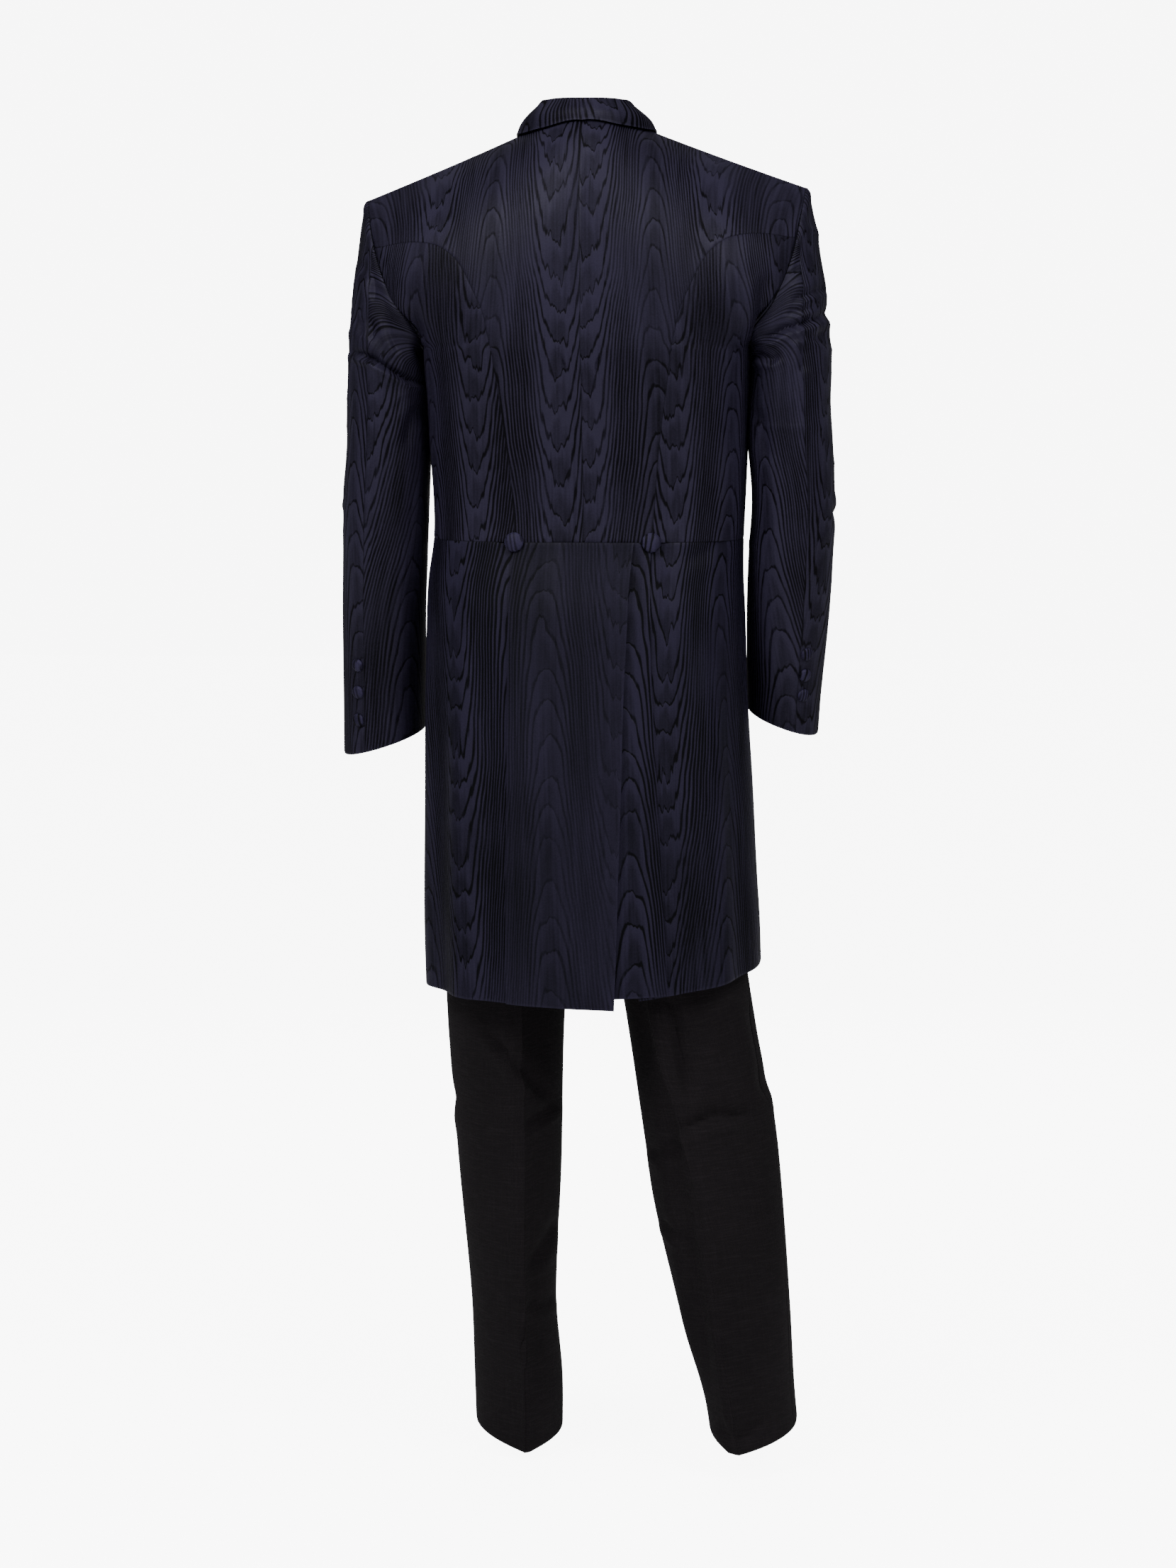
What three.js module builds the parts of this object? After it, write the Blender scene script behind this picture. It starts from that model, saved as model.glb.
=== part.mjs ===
// A three-piece suit in the shape it has when worn: a knee-length frock coat of watered silk, a waistcoat of the
// same cloth under it, and creased wool trousers. Every piece is a thin wall cut to its seam lines.
// The front faces -Y, the wearer's left is +X and +Z is up. Sizes are in millimetres, and heights in the tables
// are above the wearer's floor. The group's origin is midway between the two neck points of the shoulder line.
import * as THREE from "three";

// Driving sizes
const HOLD_HEIGHT = 1548;
const COAT_HEM = 562;
const WAIST_SEAM = 1085;
const ARMPIT = 1300;
const SHOULDER_LEVEL = 1550;
const RIDGE_RISE = 268;
const SHOULDER_SEAM_Y = -4;
const SHOULDER_TILT = -7 / 249;
const SHOULDER_SWAY = 2;
const COAT_WALL = 2;
const WAISTCOAT_WALL = 1.5;
const TROUSER_WALL = 1.6;
const SEAM_GAP = 0.3;
const LAYER = 3;
const BACK_POWER = 2.9;
const FRONT_POWER = 1.35;
const TO_RAD = Math.PI / 180;

const navySilk = new THREE.MeshStandardMaterial({ color: "#1b1b2b", roughness: 0.45, metalness: 0 });
const navyButton = new THREE.MeshStandardMaterial({ color: "#20202f", roughness: 0.4, metalness: 0 });
const waistcoatSilk = new THREE.MeshStandardMaterial({ color: "#1c1c2c", roughness: 0.45, metalness: 0 });
const blackWool = new THREE.MeshStandardMaterial({ color: "#131214", roughness: 0.9, metalness: 0 });

const suit = new THREE.Group();
const worn = new THREE.Group();
worn.position.z = -HOLD_HEIGHT;
suit.add(worn);

// Numbers and curves

const mix = (a, b, share) => a + (b - a) * share;

function ease(from, to, x) {
  const share = Math.min(1, Math.max(0, (x - from) / (to - from)));
  return share * share * (3 - 2 * share);
}

// A smooth curve through one column of a table, read at a value of its first column.
function column(table, key, along) {
  const xs = table.map((row) => row[along]);
  const ys = table.map((row) => row[key]);
  const last = xs.length - 1;
  const slope = (i) => {
    const a = Math.max(0, i - 1);
    const b = Math.min(last, i + 1);
    return (ys[b] - ys[a]) / (xs[b] - xs[a]);
  };
  return (x) => {
    if (x <= xs[0]) return ys[0];
    if (x >= xs[last]) return ys[last];
    let i = 0;
    while (x > xs[i + 1]) i++;
    const width = xs[i + 1] - xs[i];
    const t = (x - xs[i]) / width;
    const t2 = t * t;
    const t3 = t2 * t;
    return (
      ys[i] * (2 * t3 - 3 * t2 + 1) +
      slope(i) * width * (t3 - 2 * t2 + t) +
      ys[i + 1] * (3 * t2 - 2 * t3) +
      slope(i + 1) * width * (t3 - t2)
    );
  };
}

const columns = (table, along, ...keys) => Object.fromEntries(keys.map((key) => [key, column(table, key, along)]));

// The unit rounded quarter: share of the half width and of the depth at an angle from the centre line.
function roundedQuarter(angle, power) {
  const s = Math.sin(angle);
  const c = Math.cos(angle);
  const r = (Math.abs(s) ** power + Math.abs(c) ** power) ** (-1 / power);
  return [s * r, c * r];
}

// A track is a seam line on a surface: points [u, level], spaced by about their real distance.
const GIRTH_SCALE = 170;

function track(...points) {
  const reach = [0];
  for (let i = 1; i < points.length; i++) {
    const du = (points[i][0] - points[i - 1][0]) * GIRTH_SCALE;
    const dl = points[i][1] - points[i - 1][1];
    reach.push(reach[i - 1] + Math.hypot(du, dl));
  }
  const rows = points.map(([u, level], i) => ({ reach: reach[i], u, level }));
  const at = columns(rows, "reach", "u", "level");
  const whole = reach.at(-1);
  return (share) => [at.u(share * whole), at.level(share * whole)];
}

// Two tracks end to end, the first taking the given share of the whole.
const joined = (first, second, share) => (t) => (t < share ? first(t / share) : second((t - share) / (1 - share)));

// Surfaces: functions of u and level that give a point. Their outward side is found from two neighbours.

const STEP_U = 0.004;
const EDGE_STEP = 0.012;
const STEP_LEVEL = 0.7;

function outward(surface, u, level) {
  const acrossStep = surface(u + STEP_U, level).sub(surface(u - STEP_U, level));
  const upStep = surface(u, level + STEP_LEVEL).sub(surface(u, level - STEP_LEVEL));
  return upStep.cross(acrossStep).normalize();
}

// The same surface moved out by a distance that may change over it.
const lifted = (surface, lift) => (u, level) =>
  surface(u, level).addScaledVector(outward(surface, u, level), typeof lift === "number" ? lift : lift(u, level));

// Cloth panels

// A closed wall from two matching grids of points, the outer and the inner face.
function wallBetween(outer, inner) {
  const rows = outer.length;
  const cols = outer[0].length;
  const positions = [...outer, ...inner].flat().flatMap((p) => [p.x, p.y, p.z]);
  const out = (i, j) => i * cols + j;
  const inn = (i, j) => rows * cols + i * cols + j;
  const faces = [];
  const quad = (a, b, c, d) => faces.push(a, b, c, a, c, d);
  const turnedQuad = (a, b, c, d) => faces.push(a, b, d, b, c, d);
  for (let i = 0; i + 1 < rows; i++) {
    for (let j = 0; j + 1 < cols; j++) {
      const rising = outer[i][j].distanceTo(outer[i + 1][j + 1]);
      const falling = outer[i + 1][j].distanceTo(outer[i][j + 1]);
      const split = rising < falling ? quad : turnedQuad;
      split(out(i, j), out(i + 1, j), out(i + 1, j + 1), out(i, j + 1));
      split(inn(i, j), inn(i, j + 1), inn(i + 1, j + 1), inn(i + 1, j));
    }
    quad(out(i, 0), inn(i, 0), inn(i + 1, 0), out(i + 1, 0));
    quad(out(i, cols - 1), out(i + 1, cols - 1), inn(i + 1, cols - 1), inn(i, cols - 1));
  }
  for (let j = 0; j + 1 < cols; j++) {
    quad(out(0, j), out(0, j + 1), inn(0, j + 1), inn(0, j));
    quad(out(rows - 1, j), inn(rows - 1, j), inn(rows - 1, j + 1), out(rows - 1, j + 1));
  }
  const geometry = new THREE.BufferGeometry();
  geometry.setAttribute("position", new THREE.Float32BufferAttribute(positions, 3));
  geometry.setIndex(faces);
  geometry.computeVertexNormals();
  return geometry;
}

function add(name, geometry, material) {
  const mesh = new THREE.Mesh(geometry, material);
  mesh.name = name;
  worn.add(mesh);
  return mesh;
}

// A panel is the part of a surface inside four tracks: left and right run upwards, bottom and top run across.
// Each edge stands half a seam gap inside its track.
function panel(name, material, wall, surface, cut) {
  const { left, right, across, up } = cut;
  const bottom = cut.bottom ?? ((s) => [0, 1].map((k) => mix(left(0)[k], right(0)[k], s)));
  const top = cut.top ?? ((s) => [0, 1].map((k) => mix(left(1)[k], right(1)[k], s)));
  const place = (s, t) =>
    [0, 1].map(
      (k) =>
        mix(left(t)[k], right(t)[k], s) +
        mix(bottom(s)[k], top(s)[k], t) -
        mix(mix(left(0)[k], right(0)[k], s), mix(left(1)[k], right(1)[k], s), t),
    );
  const point = (s, t) => surface(...place(s, t));
  const middle = place(0.5, 0.5)[0];
  const probe = 0.01;
  const inset = (a, b) => Math.min(0.2, ((SEAM_GAP / 2) * probe) / Math.max(1e-6, point(...a).distanceTo(point(...b))));
  const outer = [];
  const inner = [];
  for (let i = 0; i <= up; i++) {
    const outerRow = [];
    const innerRow = [];
    for (let j = 0; j <= across; j++) {
      const s0 = j / across;
      const t0 = i / up;
      const fromLeft = inset([0, t0], [probe, t0]);
      const fromRight = inset([1, t0], [1 - probe, t0]);
      const fromBottom = inset([s0, 0], [s0, probe]);
      const fromTop = inset([s0, 1], [s0, 1 - probe]);
      const s = mix(fromLeft, 1 - fromRight, s0);
      const t = mix(fromBottom, 1 - fromTop, t0);
      const [u, level] = place(s, t);
      const p = surface(u, level);
      const facing = outward(surface, u + Math.sign(middle - u) * EDGE_STEP, level);
      if (Math.abs(p.x) < SEAM_GAP) facing.setX(0).normalize();
      if (Math.abs(p.y - SHOULDER_SEAM_Y) < SEAM_GAP && level > SHOULDER_LEVEL - 2) facing.setY(0).normalize();
      outerRow.push(p);
      innerRow.push(p.clone().addScaledVector(facing, -wall));
    }
    outer.push(outerRow);
    inner.push(innerRow);
  }
  return add(name, wallBetween(outer, inner), material);
}

// The coat's body as a surface: u is 0 at the centre back, 1 at the side seam or armhole and 2 at the centre front,
// positive on the wearer's left. Level is the height up to the armpit; above it the level runs to the shoulder seam.

const bodyRows = [
  { level: 562, side: 192, back: 152, front: 146, shift: -8, power: 2.3 },
  { level: 640, side: 192, back: 150, front: 146, shift: -6, power: 2.3 },
  { level: 705, side: 190, back: 147, front: 145, shift: -4, power: 2.3 },
  { level: 803, side: 187, back: 142, front: 143, shift: -2, power: 2.3 },
  { level: 901, side: 184, back: 134, front: 139, shift: 1, power: 2.3 },
  { level: 999, side: 182, back: 124, front: 134, shift: 2, power: 2.35 },
  { level: 1040, side: 180, back: 116, front: 131, shift: 2, power: 2.4 },
  { level: 1085, side: 177, back: 107, front: 130, shift: -1, power: 2.45 },
  { level: 1129, side: 178, back: 104, front: 132, shift: -2, power: 2.5 },
  { level: 1200, side: 182, back: 112, front: 140, shift: -1, power: 2.6 },
  { level: 1260, side: 185, back: 124, front: 145, shift: -1, power: 2.7 },
  { level: 1300, side: 187, back: 130, front: 146, shift: 0, power: 2.8 },
];
const body = columns(bodyRows, "level", "side", "back", "front", "shift", "power");

// The edge of the armhole. Ratio is its depth as a share of the centre line's depth at the same level.
const armholeBackRows = [
  { level: 1300, x: 187, z: 1300, ratio: 0 },
  { level: 1315, x: 186, z: 1306, ratio: 0.31 },
  { level: 1335, x: 191, z: 1322, ratio: 0.47 },
  { level: 1370, x: 212, z: 1350, ratio: 0.53 },
  { level: 1420, x: 232, z: 1396, ratio: 0.52 },
  { level: 1480, x: 243, z: 1440, ratio: 0.56 },
  { level: 1550, x: 249, z: 1475, ratio: 0.6 },
];
const armholeFrontRows = [
  { level: 1300, x: 187, z: 1300, ratio: 0 },
  { level: 1315, x: 181, z: 1308, ratio: 0.27 },
  { level: 1335, x: 178, z: 1325, ratio: 0.43 },
  { level: 1370, x: 187, z: 1356, ratio: 0.55 },
  { level: 1420, x: 208, z: 1401, ratio: 0.58 },
  { level: 1480, x: 233, z: 1444, ratio: 0.6 },
  { level: 1550, x: 249, z: 1475, ratio: 0.6 },
];
const armholeBack = columns(armholeBackRows, "level", "x", "z", "ratio");
const armholeFront = columns(armholeFrontRows, "level", "x", "z", "ratio");

// Share of the drop from the middle of the shoulders to the armhole, at a share of the way out.
function shoulderDrop(out) {
  const power = 0.44;
  const soft = 0.01;
  const drop = (x) => (x * x + soft) ** power - soft ** power;
  return drop(out) / drop(1);
}

function torso(u, level) {
  const side = u < 0 ? -1 : 1;
  const girth = Math.abs(u);
  const isFront = girth > 1;
  const share = isFront ? 2 - girth : girth;
  const facing = isFront ? -1 : 1;
  const depth = isFront ? body.front : body.back;
  if (level <= ARMPIT) {
    const [sx, cy] = roundedQuarter(share * 90 * TO_RAD, body.power(level));
    const x = side * body.side(level) * sx + body.shift(level);
    return new THREE.Vector3(x, facing * depth(level) * cy, level);
  }
  const edge = isFront ? armholeFront : armholeBack;
  const rise = ((level - ARMPIT) / (SHOULDER_LEVEL - ARMPIT)) * 90 * TO_RAD;
  const [up, inwards] = roundedQuarter(rise, isFront ? FRONT_POWER : BACK_POWER);
  const power = body.power(ARMPIT);
  const edgeLevel = Math.min(level, 2 * SHOULDER_LEVEL - level);
  const ratio = edge.ratio(edgeLevel);
  const edgeShare = (1 - ratio ** power) ** (1 / power);
  const endAngle = Math.atan2(edgeShare, ratio);
  const [sx, cy] = roundedQuarter(share * endAngle, power);
  const x = (edge.x(edgeLevel) * sx) / edgeShare;
  const seamY = SHOULDER_SEAM_Y * ease(ARMPIT, SHOULDER_LEVEL, level);
  const y = seamY + facing * depth(ARMPIT) * inwards * cy;
  const z = mix(ARMPIT + RIDGE_RISE * up, edge.z(edgeLevel), shoulderDrop(sx / edgeShare));
  const tilt = SHOULDER_TILT * side * x * ease(1250, 1470, z);
  const sway = SHOULDER_SWAY * ease(1380, 1470, z);
  return new THREE.Vector3(side * x + sway, y, z + tilt);
}

// The armhole is cut at sixteen marks counted from the underarm up the back, over the shoulder and down the front.
const MARKS = 16;
const SHOULDER_MARK = 8;
const HINDARM_MARK = 5;
const FOREARM_MARK = 14;
const markRows = [1300, 1312, 1334, 1370, 1410, 1450, 1484, 1517, 1550].map((level, mark) => ({ mark, level }));
const markLevel = column(markRows, "level", "mark");
const armholeEdge = (from, to) => (share) => [1, markLevel(mix(from, to, share))];
const ARMHOLE_SEAM_LEVEL = markLevel(HINDARM_MARK);

// Seam lines of the coat, as u and level. Mirrored turns a line of the left side into the right side's.

const mirrored = (line) => (t) => {
  const [u, level] = line(t);
  return [-u, level];
};
const turned = (line) => (t) => line(1 - t);
const upright = (u, from, to) => track([u, from], [u, to]);

const NECK_U = 0.275;
const FRONT_EDGE_U = 2.06;
const BREAK_LEVEL = 1262;
const BACK_NECK_LEVEL = 1465;
const GORGE = [1.785, 1450];
const centreBack = upright(0, WAIST_SEAM, BACK_NECK_LEVEL);
const sideBackSeam = track(
  [0.274, WAIST_SEAM],
  [0.294, 1184],
  [0.328, 1285],
  [0.336, 1300],
  [0.402, 1311],
  [0.454, 1324],
  [0.487, 1346],
  [0.522, 1377],
  [0.556, 1396],
  [0.628, 1416],
  [0.778, 1436],
  [1, ARMHOLE_SEAM_LEVEL],
);
const backNeck = track([0, BACK_NECK_LEVEL], [0.114, 1467], [0.207, 1483], [0.26, 1512], [NECK_U, SHOULDER_LEVEL]);
const backShoulder = track([NECK_U, SHOULDER_LEVEL], [1, SHOULDER_LEVEL]);
const frontShoulder = track([1, SHOULDER_LEVEL], [2 - NECK_U, SHOULDER_LEVEL]);
const frontClosure = upright(FRONT_EDGE_U, WAIST_SEAM, BREAK_LEVEL);
const rollLine = track([FRONT_EDGE_U, BREAK_LEVEL], [1.975, 1310], [1.895, 1345], [1.85, 1375], [1.81, 1415], GORGE);
const frontNeck = track(GORGE, [1.76, 1490], [2 - NECK_U, SHOULDER_LEVEL]);

// The right front and skirt pass under the left ones at the centre front.
const underlap = (depth) => (u) => -depth * ease(1.68, 1.84, Math.abs(u));

// A panel of the left side, or the same one mirrored for the right. Lines are given for the left.
function sidePanel(name, material, wall, surface, sign, cut) {
  const { left, right, bottom, top, across, up } = cut;
  if (sign > 0) return panel(`${name}_left`, material, wall, surface, cut);
  const flip = (line) => line && turned(mirrored(line));
  return panel(`${name}_right`, material, wall, surface, {
    left: mirrored(right),
    right: mirrored(left),
    bottom: flip(bottom),
    top: flip(top),
    across,
    up,
  });
}

// Coat body above the waist seam

function coatBody(sign) {
  sidePanel("coat_back", navySilk, COAT_WALL, torso, sign, {
    left: centreBack,
    right: joined(sideBackSeam, armholeEdge(HINDARM_MARK, SHOULDER_MARK), 13 / 16),
    top: joined(backNeck, backShoulder, 3 / 9),
    across: 9,
    up: 16,
  });
  sidePanel("coat_side_body", navySilk, COAT_WALL, torso, sign, {
    left: sideBackSeam,
    right: joined(upright(1, WAIST_SEAM, ARMPIT), armholeEdge(0, HINDARM_MARK - 0.02), 8 / 13),
    across: 4,
    up: 13,
  });
  const front = sign > 0 ? torso : lifted(torso, underlap(LAYER));
  sidePanel("coat_front", navySilk, COAT_WALL, front, sign, {
    left: joined(upright(1, WAIST_SEAM, ARMPIT), armholeEdge(0, SHOULDER_MARK), 8 / 16),
    right: joined(joined(frontClosure, rollLine, 6 / 13), frontNeck, 13 / 16),
    top: frontShoulder,
    across: 6,
    up: 16,
  });
}

// Coat skirts below the waist seam. Flutes are soft upright waves that fade in below the waist.

const fluteRows = [
  { centre: -1.32, width: 0.16, depth: 5 },
  { centre: -0.86, width: 0.13, depth: -5 },
  { centre: -0.6, width: 0.11, depth: 6 },
  { centre: -0.38, width: 0.09, depth: -7 },
  { centre: 0.36, width: 0.09, depth: -6 },
  { centre: 0.52, width: 0.1, depth: 6 },
  { centre: 0.74, width: 0.1, depth: -6 },
  { centre: 1.0, width: 0.14, depth: 4 },
  { centre: 1.4, width: 0.16, depth: -4 },
];

function flutes(u, level) {
  const fade = ease(WAIST_SEAM - 20, 820, level);
  let depth = 0;
  for (const flute of fluteRows) {
    depth += flute.depth * Math.exp(-(((u - flute.centre) / flute.width) ** 2));
  }
  return depth * fade;
}

const skirt = lifted(torso, flutes);
const PLEAT_U = 0.275;
const PLEAT_HEM_U = 0.31;
const TUCK_U = 0.2;
const pleatLine = track([PLEAT_HEM_U, COAT_HEM + 4], [PLEAT_U, WAIST_SEAM]);

function coatSkirts() {
  const flapLift = (u) => (LAYER + 0.3) * (1 - ease(0.06, 0.16, u));
  panel("coat_skirt_back_left", navySilk, COAT_WALL, lifted(skirt, flapLift), {
    left: track([-0.125, COAT_HEM], [-0.175, WAIST_SEAM]),
    right: pleatLine,
    across: 7,
    up: 12,
  });
  panel("coat_skirt_back_right", navySilk, COAT_WALL, skirt, {
    left: mirrored(pleatLine),
    right: upright(0.03, COAT_HEM + 4, WAIST_SEAM),
    across: 5,
    up: 12,
  });
  for (const sign of [1, -1]) {
    const hemRise = sign > 0 ? 2 : 26;
    const tuck = (u) => -LAYER * (1 - ease(0.3, 0.37, Math.abs(u)));
    const lap = (u) => (sign < 0 ? underlap(LAYER)(u) : 0);
    sidePanel("coat_skirt_side", navySilk, COAT_WALL, lifted(skirt, (u, level) => tuck(u) + lap(u)), sign, {
      left: track([TUCK_U, COAT_HEM + 6], [TUCK_U, WAIST_SEAM]),
      right: upright(FRONT_EDGE_U, COAT_HEM + 6, WAIST_SEAM),
      bottom: track([TUCK_U, COAT_HEM + 6], [1, COAT_HEM + 6 + hemRise], [1.5, COAT_HEM + 8], [FRONT_EDGE_U, COAT_HEM + 6]),
      across: 14,
      up: 12,
    });
  }
}

// Sleeves. Level is the height along the arm up to the cap, and above that the share of the way to the armhole.

const CAP_LEVEL = 1275;
const CAP_TOP = 1475;
const CUFF_LEVEL = 852;
const CAP_FULLNESS = 0.16;
const armRows = {
  left: [
    { level: 840, x: 241, y: -66, width: 48, depth: 50 },
    { level: 900, x: 240, y: -56, width: 48, depth: 52 },
    { level: 999, x: 238, y: -34, width: 48, depth: 57 },
    { level: 1060, x: 235, y: -20, width: 48.5, depth: 62 },
    { level: 1129, x: 232, y: -10, width: 49, depth: 66 },
    { level: 1200, x: 231, y: -5, width: 45, depth: 69 },
    { level: 1275, x: 231, y: -2, width: 41.5, depth: 72 },
  ],
  right: [
    { level: 840, x: 221, y: -66, width: 41, depth: 50 },
    { level: 900, x: 223, y: -56, width: 43, depth: 52 },
    { level: 999, x: 228, y: -34, width: 47.5, depth: 57 },
    { level: 1060, x: 231, y: -20, width: 48.5, depth: 62 },
    { level: 1129, x: 234, y: -10, width: 48, depth: 66 },
    { level: 1200, x: 233.5, y: -5, width: 45.5, depth: 69 },
    { level: 1275, x: 233, y: -2, width: 43, depth: 72 },
  ],
};

function sleeveSurface(sign) {
  const arm = columns(armRows[sign > 0 ? "left" : "right"], "level", "x", "y", "width", "depth");
  const cuffLift = sign > 0 ? -4 : 22;
  const ring = (mark, level) => {
    const angle = (180 - (360 / MARKS) * mark) * TO_RAD;
    const [s, c] = roundedQuarter(angle, 2.2);
    const slant = (-15 * c - 8 * s + cuffLift) * (1 - ease(850, 960, level));
    return new THREE.Vector3(sign * (arm.x(level) + arm.width(level) * c), arm.y(level) + arm.depth(level) * s, level + slant);
  };
  return (u, level) => {
    const mark = ((Math.abs(u) % MARKS) + MARKS) % MARKS;
    if (level <= CAP_LEVEL) return ring(mark, level);
    const t = (level - CAP_LEVEL) / (CAP_TOP - CAP_LEVEL);
    const foot = ring(mark, CAP_LEVEL);
    const isFront = mark > SHOULDER_MARK;
    const edgeLevel = markLevel(isFront ? MARKS - mark : mark);
    const head = torso(sign * (isFront ? 1.0000001 : 1), edgeLevel);
    const reach = foot.distanceTo(head);
    const angle = (180 - (360 / MARKS) * mark) * TO_RAD;
    const leaving = new THREE.Vector3(sign, 0.25 * Math.sin(angle), -0.2 * Math.max(0, Math.cos(angle))).normalize();
    head.z += 0.7 * Math.max(0, -Math.cos(angle)) ** 2;
    const t2 = t * t;
    const t3 = t2 * t;
    return foot
      .multiplyScalar(2 * t3 - 3 * t2 + 1)
      .addScaledVector(head, 3 * t2 - 2 * t3)
      .add(new THREE.Vector3(0, 0, 0.6 * reach * (t3 - 2 * t2 + t)))
      .addScaledVector(leaving, -CAP_FULLNESS * reach * (t3 - t2));
  };
}

function sleeves(sign) {
  const surface = sleeveSurface(sign);
  const seam = (mark) => joined(upright(mark, CUFF_LEVEL, CAP_LEVEL), upright(mark, CAP_LEVEL, CAP_TOP), 14 / 20);
  sidePanel("sleeve_top", navySilk, COAT_WALL, surface, sign, {
    left: seam(HINDARM_MARK),
    right: seam(FOREARM_MARK),
    across: FOREARM_MARK - HINDARM_MARK,
    up: 20,
  });
  sidePanel("sleeve_under", navySilk, COAT_WALL, surface, sign, {
    left: seam(FOREARM_MARK),
    right: seam(MARKS + HINDARM_MARK),
    across: MARKS + HINDARM_MARK - FOREARM_MARK,
    up: 20,
  });
}

// Collar: one folded band. Its stand rises from the neck line and its fall turns down over the coat.

function gridNormal(grid, i, j) {
  const row = (k) => grid[Math.min(grid.length - 1, Math.max(0, k))];
  const cell = (r, k) => r[Math.min(r.length - 1, Math.max(0, k))];
  const along = cell(row(i + 1), j).clone().sub(cell(row(i - 1), j));
  const across = cell(row(i), j + 1).clone().sub(cell(row(i), j - 1));
  return along.cross(across).normalize();
}

function sheetFromGrid(name, material, wall, grid) {
  const inner = grid.map((row, i) => row.map((p, j) => p.clone().addScaledVector(gridNormal(grid, i, j), -wall)));
  return add(name, wallBetween(grid, inner), material);
}

const collarRows = [
  { share: 0, fold: 1582, lean: 2, spread: 0 },
  { share: 0.15, fold: 1582, lean: 2, spread: 0 },
  { share: 0.3, fold: 1580, lean: 9, spread: 0 },
  { share: 0.45, fold: 1572, lean: 24, spread: 0 },
  { share: 0.6, fold: 1556, lean: 24, spread: 0 },
  { share: 0.8, fold: 1522, lean: 8, spread: 0.4 },
  { share: 1, fold: 1483, lean: 0, spread: 1 },
];
const collarShape = columns(collarRows, "share", "fold", "lean", "spread");
const COLLAR_STAND_LEAST = 5;
const COLLAR_COLUMNS = 10;
const FOLD = 3.5;
const collarEdgeBack = track([0, 1453], [0.13, 1455], [0.24, 1474], [0.3, 1510], [0.32, SHOULDER_LEVEL]);
const collarEdgeFront = track([2 - 0.32, SHOULDER_LEVEL], [1.66, 1500], [1.62, 1452]);

function collarSection(side, share) {
  const back = share <= 0.6;
  const seam = back ? backNeck(share / 0.6) : turned(frontNeck)((share - 0.6) / 0.4);
  const edge = back ? collarEdgeBack(share / 0.6) : collarEdgeFront((share - 0.6) / 0.4);
  const [foot, over] = [seam, edge].map(([u, level]) => torso(side * u, level));
  const overNormal = outward(torso, side * edge[0], edge[1]);
  const outer = over.clone().sub(foot).setZ(0).normalize();
  const stand = Math.max(COLLAR_STAND_LEAST, collarShape.fold(share) - FOLD - foot.z);
  const lean = collarShape.lean(share);
  const up = new THREE.Vector3(0, 0, 1);
  const at = (a, h) => foot.clone().addScaledVector(outer, a).addScaledVector(up, h);
  const hem = over.clone().addScaledVector(overNormal, LAYER + 0.4);
  const fallTop = at(FOLD - lean, stand);
  const middle = fallTop.clone().lerp(hem, 0.5).addScaledVector(overNormal, 1.5 + 2.5 * collarShape.spread(share));
  return [at(-1, 1.1), at(-FOLD - lean, stand), at(-lean, stand + FOLD), fallTop, middle, hem];
}

function collar() {
  const grid = [];
  for (let i = -COLLAR_COLUMNS; i <= COLLAR_COLUMNS; i++) {
    grid.push(collarSection(i < 0 ? -1 : 1, Math.abs(i) / COLLAR_COLUMNS));
  }
  sheetFromGrid("collar", navySilk, COAT_WALL, grid);
}

// Lapels lie on the fronts, from the roll line out to the lapel's point.

function lapels(sign) {
  const lift = (u) => LAYER + 0.2 + (sign < 0 ? underlap(LAYER)(u) : 0);
  const foot = sign > 0 ? [2.03, BREAK_LEVEL + 2] : [1.95, 1306];
  const rollFoot = sign > 0 ? [2.05, BREAK_LEVEL + 2] : [1.97, 1306];
  sidePanel("lapel", navySilk, COAT_WALL, lifted(torso, lift), sign, {
    left: track(foot, [1.87, 1324], [1.75, 1366], [1.62, 1415]),
    right: track(rollFoot, [1.93, 1326], [1.89, 1345], [1.845, 1375], [1.805, 1412], [1.78, 1442]),
    across: 4,
    up: 8,
  });
}

// Waistcoat, hidden under the coat

function waistcoatDepth(u, level) {
  const shoulder = ease(1440, 1540, level);
  const below = 1 - ease(WAIST_SEAM - 40, WAIST_SEAM + 50, level);
  const centre = ease(1.66, 1.8, Math.abs(u));
  return mix(-6.5 - 1.5 * below - 4 * centre, -4, shoulder);
}

function waistcoat(sign) {
  const lap = (u) => (sign < 0 ? underlap(LAYER)(u) : 0);
  const surface = lifted(torso, (u, level) => waistcoatDepth(u, level) + lap(u));
  const hem = 1012;
  const underarm = 1262;
  const armholeOfBack = track([1, underarm], [0.86, 1290], [0.74, 1340], [0.66, 1430], [0.62, SHOULDER_LEVEL]);
  const frontTop = SHOULDER_LEVEL - 5;
  const armholeOfFront = track([1, underarm], [1.13, 1288], [1.27, 1335], [1.35, 1430], [1.38, frontTop]);
  sidePanel("waistcoat_back", waistcoatSilk, WAISTCOAT_WALL, surface, sign, {
    left: upright(0, hem, 1455),
    right: joined(upright(1, hem, underarm), armholeOfBack, 5 / 12),
    top: joined(track([0, 1455], [0.2, 1476], [0.3, SHOULDER_LEVEL]), track([0.3, SHOULDER_LEVEL], [0.62, SHOULDER_LEVEL]), 3 / 6),
    across: 6,
    up: 12,
  });
  sidePanel("waistcoat_front", waistcoatSilk, WAISTCOAT_WALL, surface, sign, {
    left: joined(upright(1, hem, underarm), armholeOfFront, 5 / 12),
    right: joined(
      track([2.04, hem - 8], [2.05, 1285]),
      track([2.05, 1285], [1.95, 1340], [1.83, 1410], [1.74, 1480], [1.69, frontTop]),
      5 / 12,
    ),
    bottom: track([1, hem], [1.6, hem - 14], [1.9, hem - 30], [2.04, hem - 8]),
    across: 6,
    up: 12,
  });
}

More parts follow.
